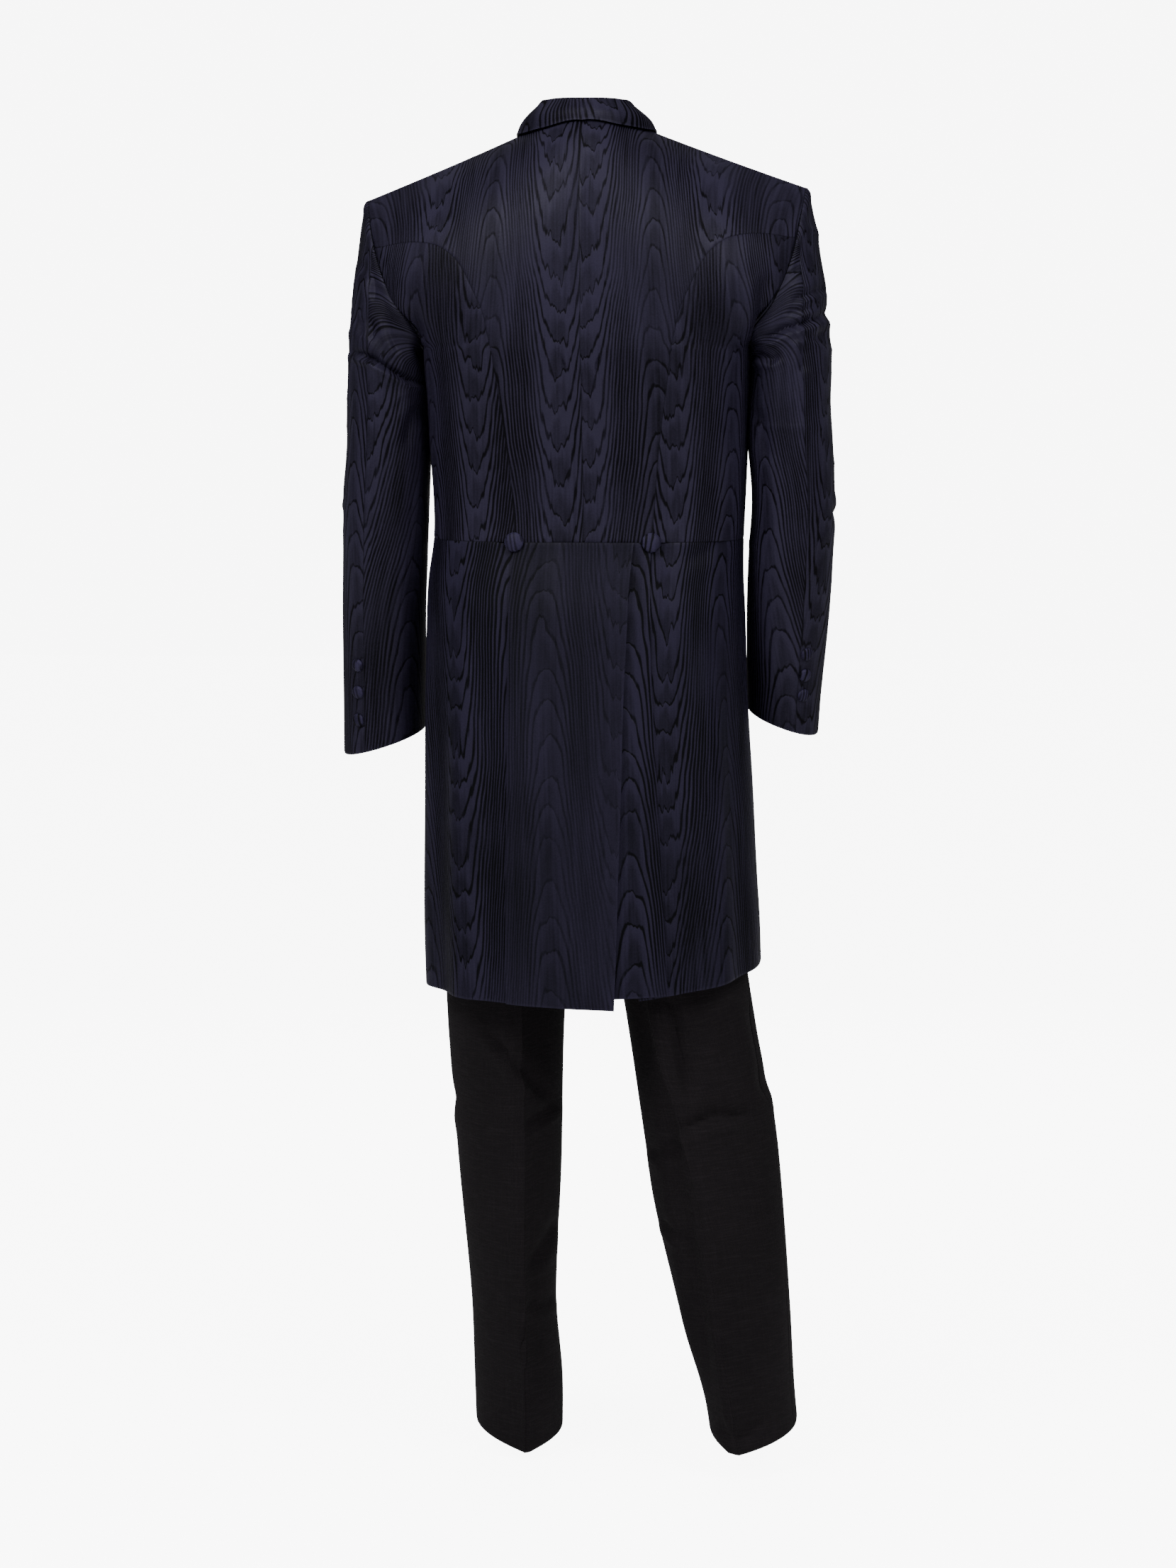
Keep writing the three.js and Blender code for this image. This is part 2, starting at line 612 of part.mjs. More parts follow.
// Trousers. Along the leg u is 0 at the inseam, 0.5 at the back crease, 1 at the side seam and 1.5 at the front
// crease; over the hips 0 is the centre back and 2 the centre front.

const TROUSER_TOP = 1032;
const BAND_TOP = 1066;
const HALF_GAP = SEAM_GAP / 2;
const legRows = {
  left: [
    { level: 12, x: 90, y: -122, width: 51, depth: 96, turn: 10 },
    { level: 86, x: 91, y: -118, width: 52, depth: 97, turn: 10 },
    { level: 184, x: 95, y: -102, width: 50, depth: 98, turn: 9 },
    { level: 347, x: 96, y: -66, width: 60, depth: 100, turn: 8 },
    { level: 510, x: 97, y: -27, width: 67, depth: 103, turn: 6 },
    { level: 590, x: 95, y: -12, width: 71, depth: 100, turn: 5 },
    { level: 680, x: 91, y: -8, width: 77, depth: 101, turn: 3 },
    { level: 780, x: 88, y: -4, width: 83, depth: 104, turn: 0 },
    { level: 860, x: 88, y: 0, width: 84, depth: 104, turn: 0 },
  ],
  right: [
    { level: 22, x: 195, y: -38, width: 48, depth: 96, turn: 14 },
    { level: 86, x: 187, y: -34, width: 50, depth: 97, turn: 14 },
    { level: 184, x: 171, y: -26, width: 62, depth: 98, turn: 14 },
    { level: 314, x: 151, y: -16, width: 74, depth: 102, turn: 14 },
    { level: 412, x: 139, y: -12, width: 76, depth: 106, turn: 14 },
    { level: 510, x: 122, y: -10, width: 73, depth: 107, turn: 12 },
    { level: 640, x: 102, y: -8, width: 75, depth: 106, turn: 6 },
    { level: 780, x: 88, y: -4, width: 83, depth: 104, turn: 0 },
    { level: 860, x: 88, y: 0, width: 84, depth: 104, turn: 0 },
  ],
};
const hemRows = {
  left: { inseam: 26, back: 12, side: 29, front: 54 },
  right: { inseam: 54, back: 34, side: 46, front: 72 },
};

const hipDepth = (u, level) => -mix(17, 12.5, ease(900, 1040, level)) - 6.5 * ease(1.5, 1.72, Math.abs(u));
const hipSurface = lifted(torso, hipDepth);

function trouserSurface(sign) {
  const leg = columns(legRows[sign > 0 ? "left" : "right"], "level", "x", "y", "width", "depth", "turn");
  const spread = (share) => Math.sign(share) * Math.abs(share) ** 1.35;
  return (u, level) => {
    const girth = Math.abs(u);
    const angle = 180 * (1 - girth) * TO_RAD;
    const [c, s] = [Math.cos(angle), Math.sin(angle)];
    const x = leg.width(level) * Math.sign(c) * Math.abs(c) ** 1.6;
    const y = leg.depth(level) * s;
    const turn = leg.turn(level) * TO_RAD;
    const alongX = leg.x(level) + x * Math.cos(turn) - y * Math.sin(turn);
    const alongY = leg.y(level) + y * Math.cos(turn) + x * Math.sin(turn);
    const onLeg = new THREE.Vector3(sign * alongX, alongY, level);
    const onHip = ease(745, 862, level);
    if (onHip === 0) return onLeg;
    const hipU = girth <= 1 ? spread(girth) : 2 - spread(2 - girth);
    const hip = hipSurface(sign * hipU, level);
    hip.x = sign * Math.max(HALF_GAP, sign * hip.x);
    return onLeg.lerp(hip, onHip);
  };
}

function trousers(sign) {
  const surface = trouserSurface(sign);
  const hem = hemRows[sign > 0 ? "left" : "right"];
  sidePanel("trouser_back", blackWool, TROUSER_WALL, surface, sign, {
    left: upright(0, hem.inseam, TROUSER_TOP),
    right: upright(1, hem.side, TROUSER_TOP),
    bottom: track([0, hem.inseam], [0.5, hem.back], [1, hem.side]),
    across: 6,
    up: 22,
  });
  sidePanel("trouser_front", blackWool, TROUSER_WALL, surface, sign, {
    left: upright(1, hem.side, TROUSER_TOP),
    right: upright(2, hem.inseam, TROUSER_TOP),
    bottom: track([1, hem.side], [1.5, hem.front], [2, hem.inseam]),
    across: 6,
    up: 22,
  });
  sidePanel("waistband", blackWool, COAT_WALL, hipSurface, sign, {
    left: upright(0, TROUSER_TOP, BAND_TOP),
    right: upright(2, TROUSER_TOP, BAND_TOP),
    across: 14,
    up: 1,
  });
}

// Buttons: a low dome on a flat back, set on a surface.

function buttonGeometry(radius, height, sectors) {
  const profile = [
    [radius, 0],
    [radius, height * 0.35],
    [radius * 0.62, height * 0.86],
  ];
  const positions = [0, 0, 0];
  for (const [r, h] of profile) {
    for (let k = 0; k < sectors; k++) {
      const angle = (k / sectors) * 360 * TO_RAD;
      positions.push(r * Math.cos(angle), r * Math.sin(angle), h);
    }
  }
  positions.push(0, 0, height);
  const at = (ring, k) => 1 + ring * sectors + (k % sectors);
  const crown = 1 + profile.length * sectors;
  const faces = [];
  for (let k = 0; k < sectors; k++) {
    faces.push(0, at(0, k + 1), at(0, k));
    for (let ring = 0; ring + 1 < profile.length; ring++) {
      faces.push(at(ring, k), at(ring, k + 1), at(ring + 1, k + 1), at(ring, k), at(ring + 1, k + 1), at(ring + 1, k));
    }
    faces.push(at(profile.length - 1, k), at(profile.length - 1, k + 1), crown);
  }
  const geometry = new THREE.BufferGeometry();
  geometry.setAttribute("position", new THREE.Float32BufferAttribute(positions, 3));
  geometry.setIndex(faces);
  geometry.computeVertexNormals();
  return geometry;
}

function button(name, surface, u, level, radius, height, lift) {
  const mesh = add(name, buttonGeometry(radius, height, 14), navyButton);
  const facing = outward(surface, u, level);
  mesh.position.copy(surface(u, level)).addScaledVector(facing, lift);
  mesh.quaternion.setFromUnitVectors(new THREE.Vector3(0, 0, 1), facing);
}

const cuffButtonLevels = [887, 913, 939];
const coatButtonLevels = [1085, 1140, 1195, 1250];
const waistcoatButtonRows = [
  { level: 1040, lift: 0.6 },
  { level: 1095, lift: 0.8 },
  { level: 1150, lift: 0.7 },
  { level: 1205, lift: 0.3 },
  { level: 1260, lift: 0 },
];

function buttons() {
  for (const [word, sign] of [["left", 1], ["right", -1]]) {
    button(`waist_button_${word}`, skirt, sign * PLEAT_U, WAIST_SEAM, 11, 5, 0.9);
    const arm = sleeveSurface(sign);
    cuffButtonLevels.forEach((level, k) => {
      const height = level + (sign > 0 ? 0 : 14);
      button(`cuff_button_${word}_${k + 1}`, arm, sign * (HINDARM_MARK + 0.42), height, 7.5, 4, -0.1);
    });
  }
  coatButtonLevels.forEach((level, k) => button(`coat_button_${k + 1}`, torso, 2, level + 4, 11, 5, 0.6));
  const waistcoatFront = lifted(torso, waistcoatDepth);
  waistcoatButtonRows.forEach(({ level, lift }, k) => {
    button(`waistcoat_button_${k + 1}`, waistcoatFront, 2, level, 6.5, 1.6, lift);
  });
}

for (const sign of [1, -1]) {
  coatBody(sign);
  sleeves(sign);
  lapels(sign);
  waistcoat(sign);
  trousers(sign);
}
coatSkirts();
collar();
buttons();

export default suit;
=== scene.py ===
# A three-piece suit as it hangs when worn: a knee-length frock coat of watered silk, a waistcoat of the same
# silk under it, and creased wool trousers. The front faces -Y and the wearer's left is +X. Sizes are in
# millimetres and heights are above the wearer's floor until a piece is made; the pieces are in metres.
import math

import bpy
import numpy as np
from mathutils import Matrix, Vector


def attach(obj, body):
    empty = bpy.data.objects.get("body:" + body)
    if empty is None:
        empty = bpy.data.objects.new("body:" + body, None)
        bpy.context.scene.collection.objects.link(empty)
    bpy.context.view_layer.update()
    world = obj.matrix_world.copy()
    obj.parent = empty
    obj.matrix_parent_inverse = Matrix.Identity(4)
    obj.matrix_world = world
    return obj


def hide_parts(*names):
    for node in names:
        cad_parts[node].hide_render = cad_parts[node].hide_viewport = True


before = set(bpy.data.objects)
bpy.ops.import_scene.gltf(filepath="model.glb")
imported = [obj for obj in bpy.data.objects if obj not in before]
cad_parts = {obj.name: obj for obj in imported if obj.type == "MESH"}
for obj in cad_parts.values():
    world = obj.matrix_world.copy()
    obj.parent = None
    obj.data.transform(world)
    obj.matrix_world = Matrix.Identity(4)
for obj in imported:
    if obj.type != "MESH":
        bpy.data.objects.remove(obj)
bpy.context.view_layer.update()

# Driving sizes
HOLD_HEIGHT = 1548
MM = 0.001
COAT_HEM = 562
WAIST_SEAM = 1085
ARMPIT = 1300
SHOULDER_LEVEL = 1550
RIDGE_RISE = 268
SHOULDER_SEAM_Y = -4
SHOULDER_TILT = -7 / 249
TILT_LEVELS = (1250, 1470)
SHOULDER_SWAY = 2
SWAY_LEVELS = (1380, 1470)
COAT_WALL = 2
WAISTCOAT_WALL = 1.5
TROUSER_WALL = 1.6
LAYER = 3
# How full the back and the front stay on the way up to the shoulder: the powers of their rounded outlines
BACK_POWER = 2.9
FRONT_POWER = 1.35
GIRTH_SCALE = 170
STEP_U = 0.004
STEP_LEVEL = 0.7
EDGE_STEP = 0.012
QUARTER = math.pi / 2


# Numbers and curves

def mix(a, b, share):
    return a + (b - a) * share


def ease(start, end, x):
    share = np.clip((x - start) / (end - start), 0, 1)
    return share * share * (3 - 2 * share)


def unit(vectors):
    return vectors / np.maximum(np.linalg.norm(vectors, axis=-1, keepdims=True), 1e-9)


def smooth_column(xs, ys):
    """A smooth curve through a table's column, read at any value of another column."""
    xs = np.asarray(xs, float)
    ys = np.asarray(ys, float)
    slopes = np.empty_like(ys)
    slopes[1:-1] = (ys[2:] - ys[:-2]) / (xs[2:] - xs[:-2])
    slopes[0] = (ys[1] - ys[0]) / (xs[1] - xs[0])
    slopes[-1] = (ys[-1] - ys[-2]) / (xs[-1] - xs[-2])

    def read(x):
        x = np.clip(x, xs[0], xs[-1])
        i = np.clip(np.searchsorted(xs, x, side="right") - 1, 0, len(xs) - 2)
        width = xs[i + 1] - xs[i]
        t = (x - xs[i]) / width
        t2 = t * t
        t3 = t2 * t
        from_values = ys[i] * (2 * t3 - 3 * t2 + 1) + ys[i + 1] * (3 * t2 - 2 * t3)
        return from_values + width * (slopes[i] * (t3 - 2 * t2 + t) + slopes[i + 1] * (t3 - t2))

    return read


def columns(keys, rows):
    """Smooth curves for every column of a table, read at its first column."""
    table = np.array(rows, float)
    return {key: smooth_column(table[:, 0], table[:, k + 1]) for k, key in enumerate(keys.split())}


def rounded_quarter(angle, power):
    """Share of the half width and of the depth at an angle from the centre line."""
    s = np.sin(angle)
    c = np.cos(angle)
    r = (np.abs(s) ** power + np.abs(c) ** power) ** (-1 / power)
    return s * r, c * r


def track(*points):
    """A seam line on a surface through points of u and level, read at a share of its length."""
    points = np.array(points, float)
    steps = np.hypot(np.diff(points[:, 0]) * GIRTH_SCALE, np.diff(points[:, 1]))
    reach = np.concatenate([[0], np.cumsum(steps)])
    u = smooth_column(reach, points[:, 0])
    level = smooth_column(reach, points[:, 1])
    return lambda share: (u(share * reach[-1]), level(share * reach[-1]))


def joined(first, second, share):
    """Two lines end to end, the first taking the given share of the whole."""
    def line(t):
        t = np.asarray(t, float)
        before = first(np.clip(t / share, 0, 1))
        after = second(np.clip((t - share) / (1 - share), 0, 1))
        return tuple(np.where(t < share, a, b) for a, b in zip(before, after))

    return line


def mirrored(line):
    return lambda t: (-line(t)[0], line(t)[1])


def turned(line):
    return lambda t: line(1 - np.asarray(t, float))


def upright(u, start, end):
    return track((u, start), (u, end))


def outward(surface, u, level):
    across = surface(u + STEP_U, level) - surface(u - STEP_U, level)
    up = surface(u, level + STEP_LEVEL) - surface(u, level - STEP_LEVEL)
    return unit(np.cross(up, across))


# The coat's body: u is 0 at the centre back, 1 at the side seam or armhole and 2 at the centre front,
# positive on the wearer's left. Level is the height up to the armpit; above it the level runs to the
# shoulder seam.

BODY = columns("side back front shift power", [
    (562, 192, 152, 146, -8, 2.3), (640, 192, 150, 146, -6, 2.3), (705, 190, 147, 145, -4, 2.3),
    (803, 187, 142, 143, -2, 2.3), (901, 184, 134, 139, 1, 2.3), (999, 182, 124, 134, 2, 2.35),
    (1040, 180, 116, 131, 2, 2.4), (1085, 177, 107, 130, -1, 2.45), (1129, 178, 104, 132, -2, 2.5),
    (1200, 182, 112, 140, -1, 2.6), (1260, 185, 124, 145, -1, 2.7), (1300, 187, 130, 146, 0, 2.8),
])
ARMHOLE_BACK = columns("x z ratio", [
    (1300, 187, 1300, 0), (1315, 186, 1306, 0.31), (1335, 191, 1322, 0.47), (1370, 212, 1350, 0.53),
    (1420, 232, 1396, 0.52), (1480, 243, 1440, 0.56), (1550, 249, 1475, 0.6),
])
ARMHOLE_FRONT = columns("x z ratio", [
    (1300, 187, 1300, 0), (1315, 181, 1308, 0.27), (1335, 178, 1325, 0.43), (1370, 187, 1356, 0.55),
    (1420, 208, 1401, 0.58), (1480, 233, 1444, 0.6), (1550, 249, 1475, 0.6),
])


def shoulder_drop(out):
    """Share of the drop from the middle of the shoulders to the armhole, at a share of the way out."""
    power = 0.44
    soft = 0.01
    return ((out * out + soft) ** power - soft ** power) / ((1 + soft) ** power - soft ** power)


def torso(u, level):
    u, level = np.broadcast_arrays(np.asarray(u, float), np.asarray(level, float))
    side = np.where(u < 0, -1.0, 1.0)
    girth = np.abs(u)
    is_front = girth > 1
    share = np.where(is_front, 2 - girth, girth)
    facing = np.where(is_front, -1.0, 1.0)
    depth = np.where(is_front, BODY["front"](level), BODY["back"](level))
    sx, cy = rounded_quarter(share * QUARTER, BODY["power"](level))
    below = np.stack([side * BODY["side"](level) * sx + BODY["shift"](level), facing * depth * cy, level], -1)

    rise = (level - ARMPIT) / (SHOULDER_LEVEL - ARMPIT) * QUARTER
    up, inwards = rounded_quarter(rise, np.where(is_front, FRONT_POWER, BACK_POWER))
    power = BODY["power"](ARMPIT)
    edge_level = np.minimum(level, 2 * SHOULDER_LEVEL - level)
    edge = {
        key: np.where(is_front, ARMHOLE_FRONT[key](edge_level), ARMHOLE_BACK[key](edge_level))
        for key in ("x", "z", "ratio")
    }
    edge_share = (1 - edge["ratio"] ** power) ** (1 / power)
    end_angle = np.arctan2(edge_share, edge["ratio"])
    sx, cy = rounded_quarter(share * end_angle, power)
    x = edge["x"] * sx / edge_share
    y = SHOULDER_SEAM_Y * ease(ARMPIT, SHOULDER_LEVEL, level) + facing * depth * inwards * cy
    z = mix(ARMPIT + RIDGE_RISE * up, edge["z"], shoulder_drop(sx / edge_share))
    tilt = SHOULDER_TILT * side * x * ease(*TILT_LEVELS, z)
    sway = SHOULDER_SWAY * ease(*SWAY_LEVELS, z)
    above = np.stack([side * x + sway, y, z + tilt], -1)
    return np.where((level <= ARMPIT)[..., None], below, above)


# The armhole is cut at sixteen marks, counted from the underarm up the back, over the shoulder and down the
# front.
MARKS = 16
SHOULDER_MARK = 8
HINDARM_MARK = 5
FOREARM_MARK = 14
mark_level = smooth_column(range(9), [1300, 1312, 1334, 1370, 1410, 1450, 1484, 1517, 1550])


def armhole_edge(start, end):
    def line(share):
        share = np.asarray(share, float)
        return np.ones_like(share), mark_level(mix(start, end, share))

    return line


NECK_U = 0.2
FRONT_EDGE_U = 2.06
BREAK_LEVEL = 1262
BACK_NECK_LEVEL = 1488
GORGE = (1.785, 1450)
centre_back = upright(0, WAIST_SEAM, BACK_NECK_LEVEL)
side_back_seam = track(
    (0.274, WAIST_SEAM), (0.294, 1184), (0.328, 1285), (0.336, 1300), (0.402, 1311), (0.454, 1324),
    (0.487, 1346), (0.522, 1377), (0.556, 1396), (0.628, 1416), (0.778, 1436),
    (1, float(mark_level(HINDARM_MARK))),
)
back_neck = track((0, BACK_NECK_LEVEL), (0.06, 1492), (0.12, 1503), (0.17, 1522), (NECK_U, SHOULDER_LEVEL))
back_shoulder = track((NECK_U, SHOULDER_LEVEL), (1, SHOULDER_LEVEL))
front_shoulder = track((1, SHOULDER_LEVEL), (2 - NECK_U, SHOULDER_LEVEL))
front_closure = upright(FRONT_EDGE_U, WAIST_SEAM, BREAK_LEVEL)
roll_line = track(
    (FRONT_EDGE_U, BREAK_LEVEL), (1.975, 1310), (1.895, 1345), (1.85, 1375), (1.81, 1415), GORGE,
)
front_neck = track(GORGE, (1.795, 1492), (2 - NECK_U, SHOULDER_LEVEL))
UNDERLAP_U = (1.68, 1.84)


def underlap(u):
    """The right front and skirt pass under the left ones at the centre front."""
    return -LAYER * ease(*UNDERLAP_U, np.abs(u))


# Cloth coordinates: the distance round a surface and up it, which a pattern in the cloth follows.

def cloth_measure(surface, u_range, level_range, u_start, level_start, cells=(160, 120)):
    """Reads the girth and the length of cloth from a starting point, in millimetres."""
    us = np.linspace(*u_range, cells[0])
    levels = np.linspace(*level_range, cells[1])
    points = surface(us[None, :], levels[:, None])

    def reach(axis, start, along):
        steps = np.linalg.norm(np.diff(points, axis=axis), axis=-1)
        first_line = np.zeros_like(points[:, :1, 0] if axis else points[:1, :, 0])
        total = np.concatenate([first_line, np.cumsum(steps, axis)], axis)
        at = np.clip((start - along[0]) / (along[-1] - along[0]) * (len(along) - 1), 0, len(along) - 1)
        low = min(int(at), len(along) - 2)
        first = mix(np.take(total, [low], axis), np.take(total, [low + 1], axis), at - low)
        return total - first

    tables = reach(1, u_start, us), reach(0, level_start, levels)

    def read(u, level):
        a, b = [
            np.clip((value - along[0]) / (along[-1] - along[0]) * (len(along) - 1), 0, len(along) - 1.001)
            for value, along in ((u, us), (level, levels))
        ]
        i = b.astype(int)
        j = a.astype(int)
        fa = a - j
        fb = b - i
        return [
            mix(mix(table[i, j], table[i, j + 1], fa), mix(table[i + 1, j], table[i + 1, j + 1], fa), fb)
            for table in tables
        ]

    return read


# Folds placed one by one. Each is a soft trough with a lower ridge along one side of it, on a line seen from
# one side.

FACING = {"back": (0, 1, 0), "front": (0, -1, 0), "left": (1, 0, 0), "right": (-1, 0, 0)}
RIDGE_SHARE = 0.55
RIDGE_OFFSET = 1.5
TROUGH_POWER = 1.4
FOLD_END = 0.28
FOLD_FACING = (-0.15, 0.35)
CRUMPLE_CELLS = 24


def along_line(points, line):
    """Signed distance of points from a line, and the share of the line's length they lie beside."""
    line = np.array(line, float)
    steps = np.diff(line, axis=0)
    lengths = np.linalg.norm(steps, axis=1)
    starts = np.concatenate([[0], np.cumsum(lengths)])
    nearest = np.full(points.shape[:-1], 1e9)
    share = np.zeros(points.shape[:-1])
    for start, step, length, before in zip(line, steps, lengths, starts):
        offset = points - start
        t = np.clip((offset @ step) / length ** 2, 0, 1)
        gap = offset - t[..., None] * step
        distance = np.linalg.norm(gap, axis=-1)
        side = np.sign(step[0] * offset[..., 1] - step[1] * offset[..., 0])
        closer = distance < np.abs(nearest)
        nearest = np.where(closer, distance * np.where(side == 0, 1, side), nearest)
        share = np.where(closer, (before + t * length) / starts[-1], share)
    return nearest, share


def fold_depth(points, normals, folds):
    """Sum of the folds at each point: each is (side seen, width, depth, line)."""
    total = np.zeros(points.shape[:-1])
    for view, width, depth, line in folds:
        facing = np.array(FACING[view], float)
        seen = points[..., [0, 2]] if view in ("back", "front") else points[..., [1, 2]]
        distance, share = along_line(seen, line)
        trough = np.exp(-((np.abs(distance) / width) ** TROUGH_POWER))
        ridge = RIDGE_SHARE * np.exp(-(((distance - RIDGE_OFFSET * width) / width) ** 2))
        ends = ease(0, FOLD_END, share) * ease(1, 1 - FOLD_END, share)
        total += depth * (ridge - trough) * ends * ease(*FOLD_FACING, normals @ facing)
    return total


def crumples(points, size, seed):
    """Uneven ridges scattered through space, from -1 in the hollows to 1 on the crests."""
    lattice = np.random.default_rng(seed).uniform(-1, 1, 3 * (CRUMPLE_CELLS,))
    place = points / size
    low = np.floor(place).astype(int)
    share = place - low
    share = share * share * (3 - 2 * share)
    total = np.zeros(points.shape[:-1])
    for corner in np.ndindex(2, 2, 2):
        weight = np.prod(np.where(corner, share, 1 - share), axis=-1)
        cell = (low + corner) % CRUMPLE_CELLS
        total += weight * lattice[cell[..., 0], cell[..., 1], cell[..., 2]]
    return 1 - 2 * np.sqrt(np.abs(total))


# Making a piece: a closed thin shell from an outer and an inner grid of points

root = "root"
SEAM_ROLL = 0.45
EDGE_ROLL = 0.35
ROLL_WIDTH = 1.4
FAR = 99
EDGE_COLUMNS = (0, 0.5, 1.2, 2.4, 4.5)
CREASE_COLUMNS = (0, 0.6, 1.4, 2.6)


def spaced(length, step, creased=False):
    """Shares along a strip of cloth: even steps over its field, close ones by its edges and its crease."""
    edge = np.array(EDGE_COLUMNS)
    if length < 3 * edge[-1]:
        return np.linspace(0, 1, 9)
    count = max(2, round((length - 2 * edge[-1]) / step))
    field = np.linspace(edge[-1], length - edge[-1], count + 1)
    marks = np.concatenate([edge[:-1], field, length - edge[:-1][::-1]])
    if creased:
        near = np.array(CREASE_COLUMNS)
        clear = marks[np.abs(marks - length / 2) > near[-1] + 0.8]
        marks = np.unique(np.concatenate([clear, length / 2 + near, length / 2 - near]))
    return marks / length


def grid_faces(rows, cols, start, flipped):
    index = start + np.arange(rows * cols).reshape(rows, cols)
    a, b, c, d = index[:-1, :-1], index[1:, :-1], index[1:, 1:], index[:-1, 1:]
    quad = (a, d, c, b) if flipped else (a, b, c, d)
    return np.stack(quad, -1).reshape(-1, 4)


def rim_faces(rows, cols):
    index = np.arange(rows * cols).reshape(rows, cols)
    ring = np.concatenate([index[0, :-1], index[:-1, -1], index[-1, :0:-1], index[:0:-1, 0]])
    after = np.roll(ring, -1)
    inner = rows * cols
    return np.stack([ring, after, after + inner, ring + inner], -1)


def make_mesh(name, points, quads, maps, sharp_angle):
    mesh = bpy.data.meshes.new(name)
    mesh.vertices.add(len(points))
    mesh.vertices.foreach_set("co", ((points - (0, 0, HOLD_HEIGHT)) * MM).astype(np.float32).ravel())
    mesh.loops.add(quads.size)
    mesh.loops.foreach_set("vertex_index", quads.astype(np.int32).ravel())
    mesh.polygons.add(len(quads))
    mesh.polygons.foreach_set("loop_start", np.arange(0, quads.size, 4, dtype=np.int32))
    mesh.polygons.foreach_set("use_smooth", np.ones(len(quads), dtype=bool))
    mesh.update(calc_edges=True)
    for map_name, values in maps.items():
        layer = mesh.uv_layers.new(name=map_name)
        layer.uv.foreach_set("vector", values[quads.ravel()].astype(np.float32).ravel())
    mesh.set_sharp_from_angle(angle=math.radians(sharp_angle))
    mesh.validate()
    piece = bpy.data.objects.new(name, mesh)
    bpy.context.scene.collection.objects.link(piece)
    return piece


def shell(name, outer, inner, cloth, trim, sharp_angle=48):
    """A closed shell with the cloth and edge distances of its outer grid on both faces."""
    rows, cols = outer.shape[:2]
    points = np.concatenate([outer.reshape(-1, 3), inner.reshape(-1, 3)])
    quads = np.concatenate([
        grid_faces(rows, cols, 0, False), grid_faces(rows, cols, rows * cols, True), rim_faces(rows, cols),
    ])
    maps = {"cloth": np.tile(cloth.reshape(-1, 2), (2, 1)), "trim": np.tile(trim.reshape(-1, 2), (2, 1))}
    return make_mesh(name, points, quads, maps, sharp_angle)


def finish_piece(piece, material, nodes):
    piece.data.materials.append(material)
    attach(piece, root)
    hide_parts(*nodes)


def edge_distances(points):
    """Distances along the cloth from the left, right, bottom and top edges of a grid."""
    across = np.linalg.norm(np.diff(points, axis=1), axis=-1)
    up = np.linalg.norm(np.diff(points, axis=0), axis=-1)
    zero_column = np.zeros((points.shape[0], 1))
    zero_row = np.zeros((1, points.shape[1]))
    left = np.concatenate([zero_column, np.cumsum(across, 1)], 1)
    bottom = np.concatenate([zero_row, np.cumsum(up, 0)], 0)
    return {"left": left, "right": left[:, -1:] - left, "bottom": bottom, "top": bottom[-1:, :] - bottom}


def panel(
        name, surface, cut, measure, offset, wall, lift=None, folds=(), step=4.6,
        sewn="left right bottom top", extra=None, creased=False):
    """One cut piece of cloth: the part of a surface inside four lines. Its edges roll into their seams. Offset
    is how far the cloth's pattern is moved across and up, and 1 or -1 for the side it runs towards."""
    left, right = cut["left"], cut["right"]

    def straight(end):
        a, b = left(end), right(end)
        return lambda s: (mix(a[0], b[0], np.asarray(s, float)), mix(a[1], b[1], np.asarray(s, float)))

    bottom = cut.get("bottom") or straight(0)
    top = cut.get("top") or straight(1)
    corners = [[line(end) for end in (0, 1)] for line in (left, right)]

    def place(s, t):
        sides = [mix(a, b, s) for a, b in zip(left(t), right(t))]
        ends = [mix(a, b, t) for a, b in zip(bottom(s), top(s))]
        plane = [
            mix(mix(corners[0][0][k], corners[1][0][k], s), mix(corners[0][1][k], corners[1][1][k], s), t)
            for k in (0, 1)
        ]
        return [side + end - flat for side, end, flat in zip(sides, ends, plane)]

    even = np.linspace(0, 1, 17)
    rough = surface(*place(*np.meshgrid(even, even)))
    width = np.linalg.norm(np.diff(rough, axis=1), axis=-1).sum(1).mean()
    height = np.linalg.norm(np.diff(rough, axis=0), axis=-1).sum(0).mean()
    s, t = np.meshgrid(spaced(width, step, creased), spaced(height, step))
    u, level = place(s, t)
    middle = float(place(np.array(0.5), np.array(0.5))[0])
    base = surface(u, level)
    facing = outward(surface, u + np.sign(middle - u) * EDGE_STEP, level)
    facing[np.abs(base[..., 0]) < SHOULDER_SWAY + 0.3, 0] = 0
    facing = unit(facing)
    distance = edge_distances(base)
    sewn_gap = np.minimum.reduce([distance[side] for side in sewn.split()])
    free = [distance[side] for side in distance if side not in sewn.split()]
    free_gap = np.minimum.reduce(free or [np.full(u.shape, float(FAR))])
    seam_roll = -SEAM_ROLL * np.exp(-((sewn_gap / ROLL_WIDTH) ** 2))
    height_off = seam_roll - EDGE_ROLL * np.exp(-((free_gap / ROLL_WIDTH) ** 2))
    if lift is not None:
        height_off = height_off + lift(u, level)
    height_off = height_off + fold_depth(base, facing, folds)
    if extra is not None:
        height_off = height_off + extra(u, level, distance)
    outer = base + facing * height_off[..., None]
    inner = outer - facing * wall
    girth, length = measure(u, level)
    cloth = np.stack([offset[2] * girth + offset[0], length + offset[1]], -1)
    trim = np.stack([np.minimum(sewn_gap, FAR), np.minimum(free_gap, FAR)], -1)
    return shell(name, outer, inner, cloth, trim)


def sided(cut, sign):
    """A cut of the left side, or the same one mirrored for the right."""
    if sign > 0:
        return cut
    flip = lambda line: turned(mirrored(line)) if line else None
    return {
        "left": mirrored(cut["right"]),
        "right": mirrored(cut["left"]),
        "bottom": flip(cut.get("bottom")),
        "top": flip(cut.get("top")),
    }


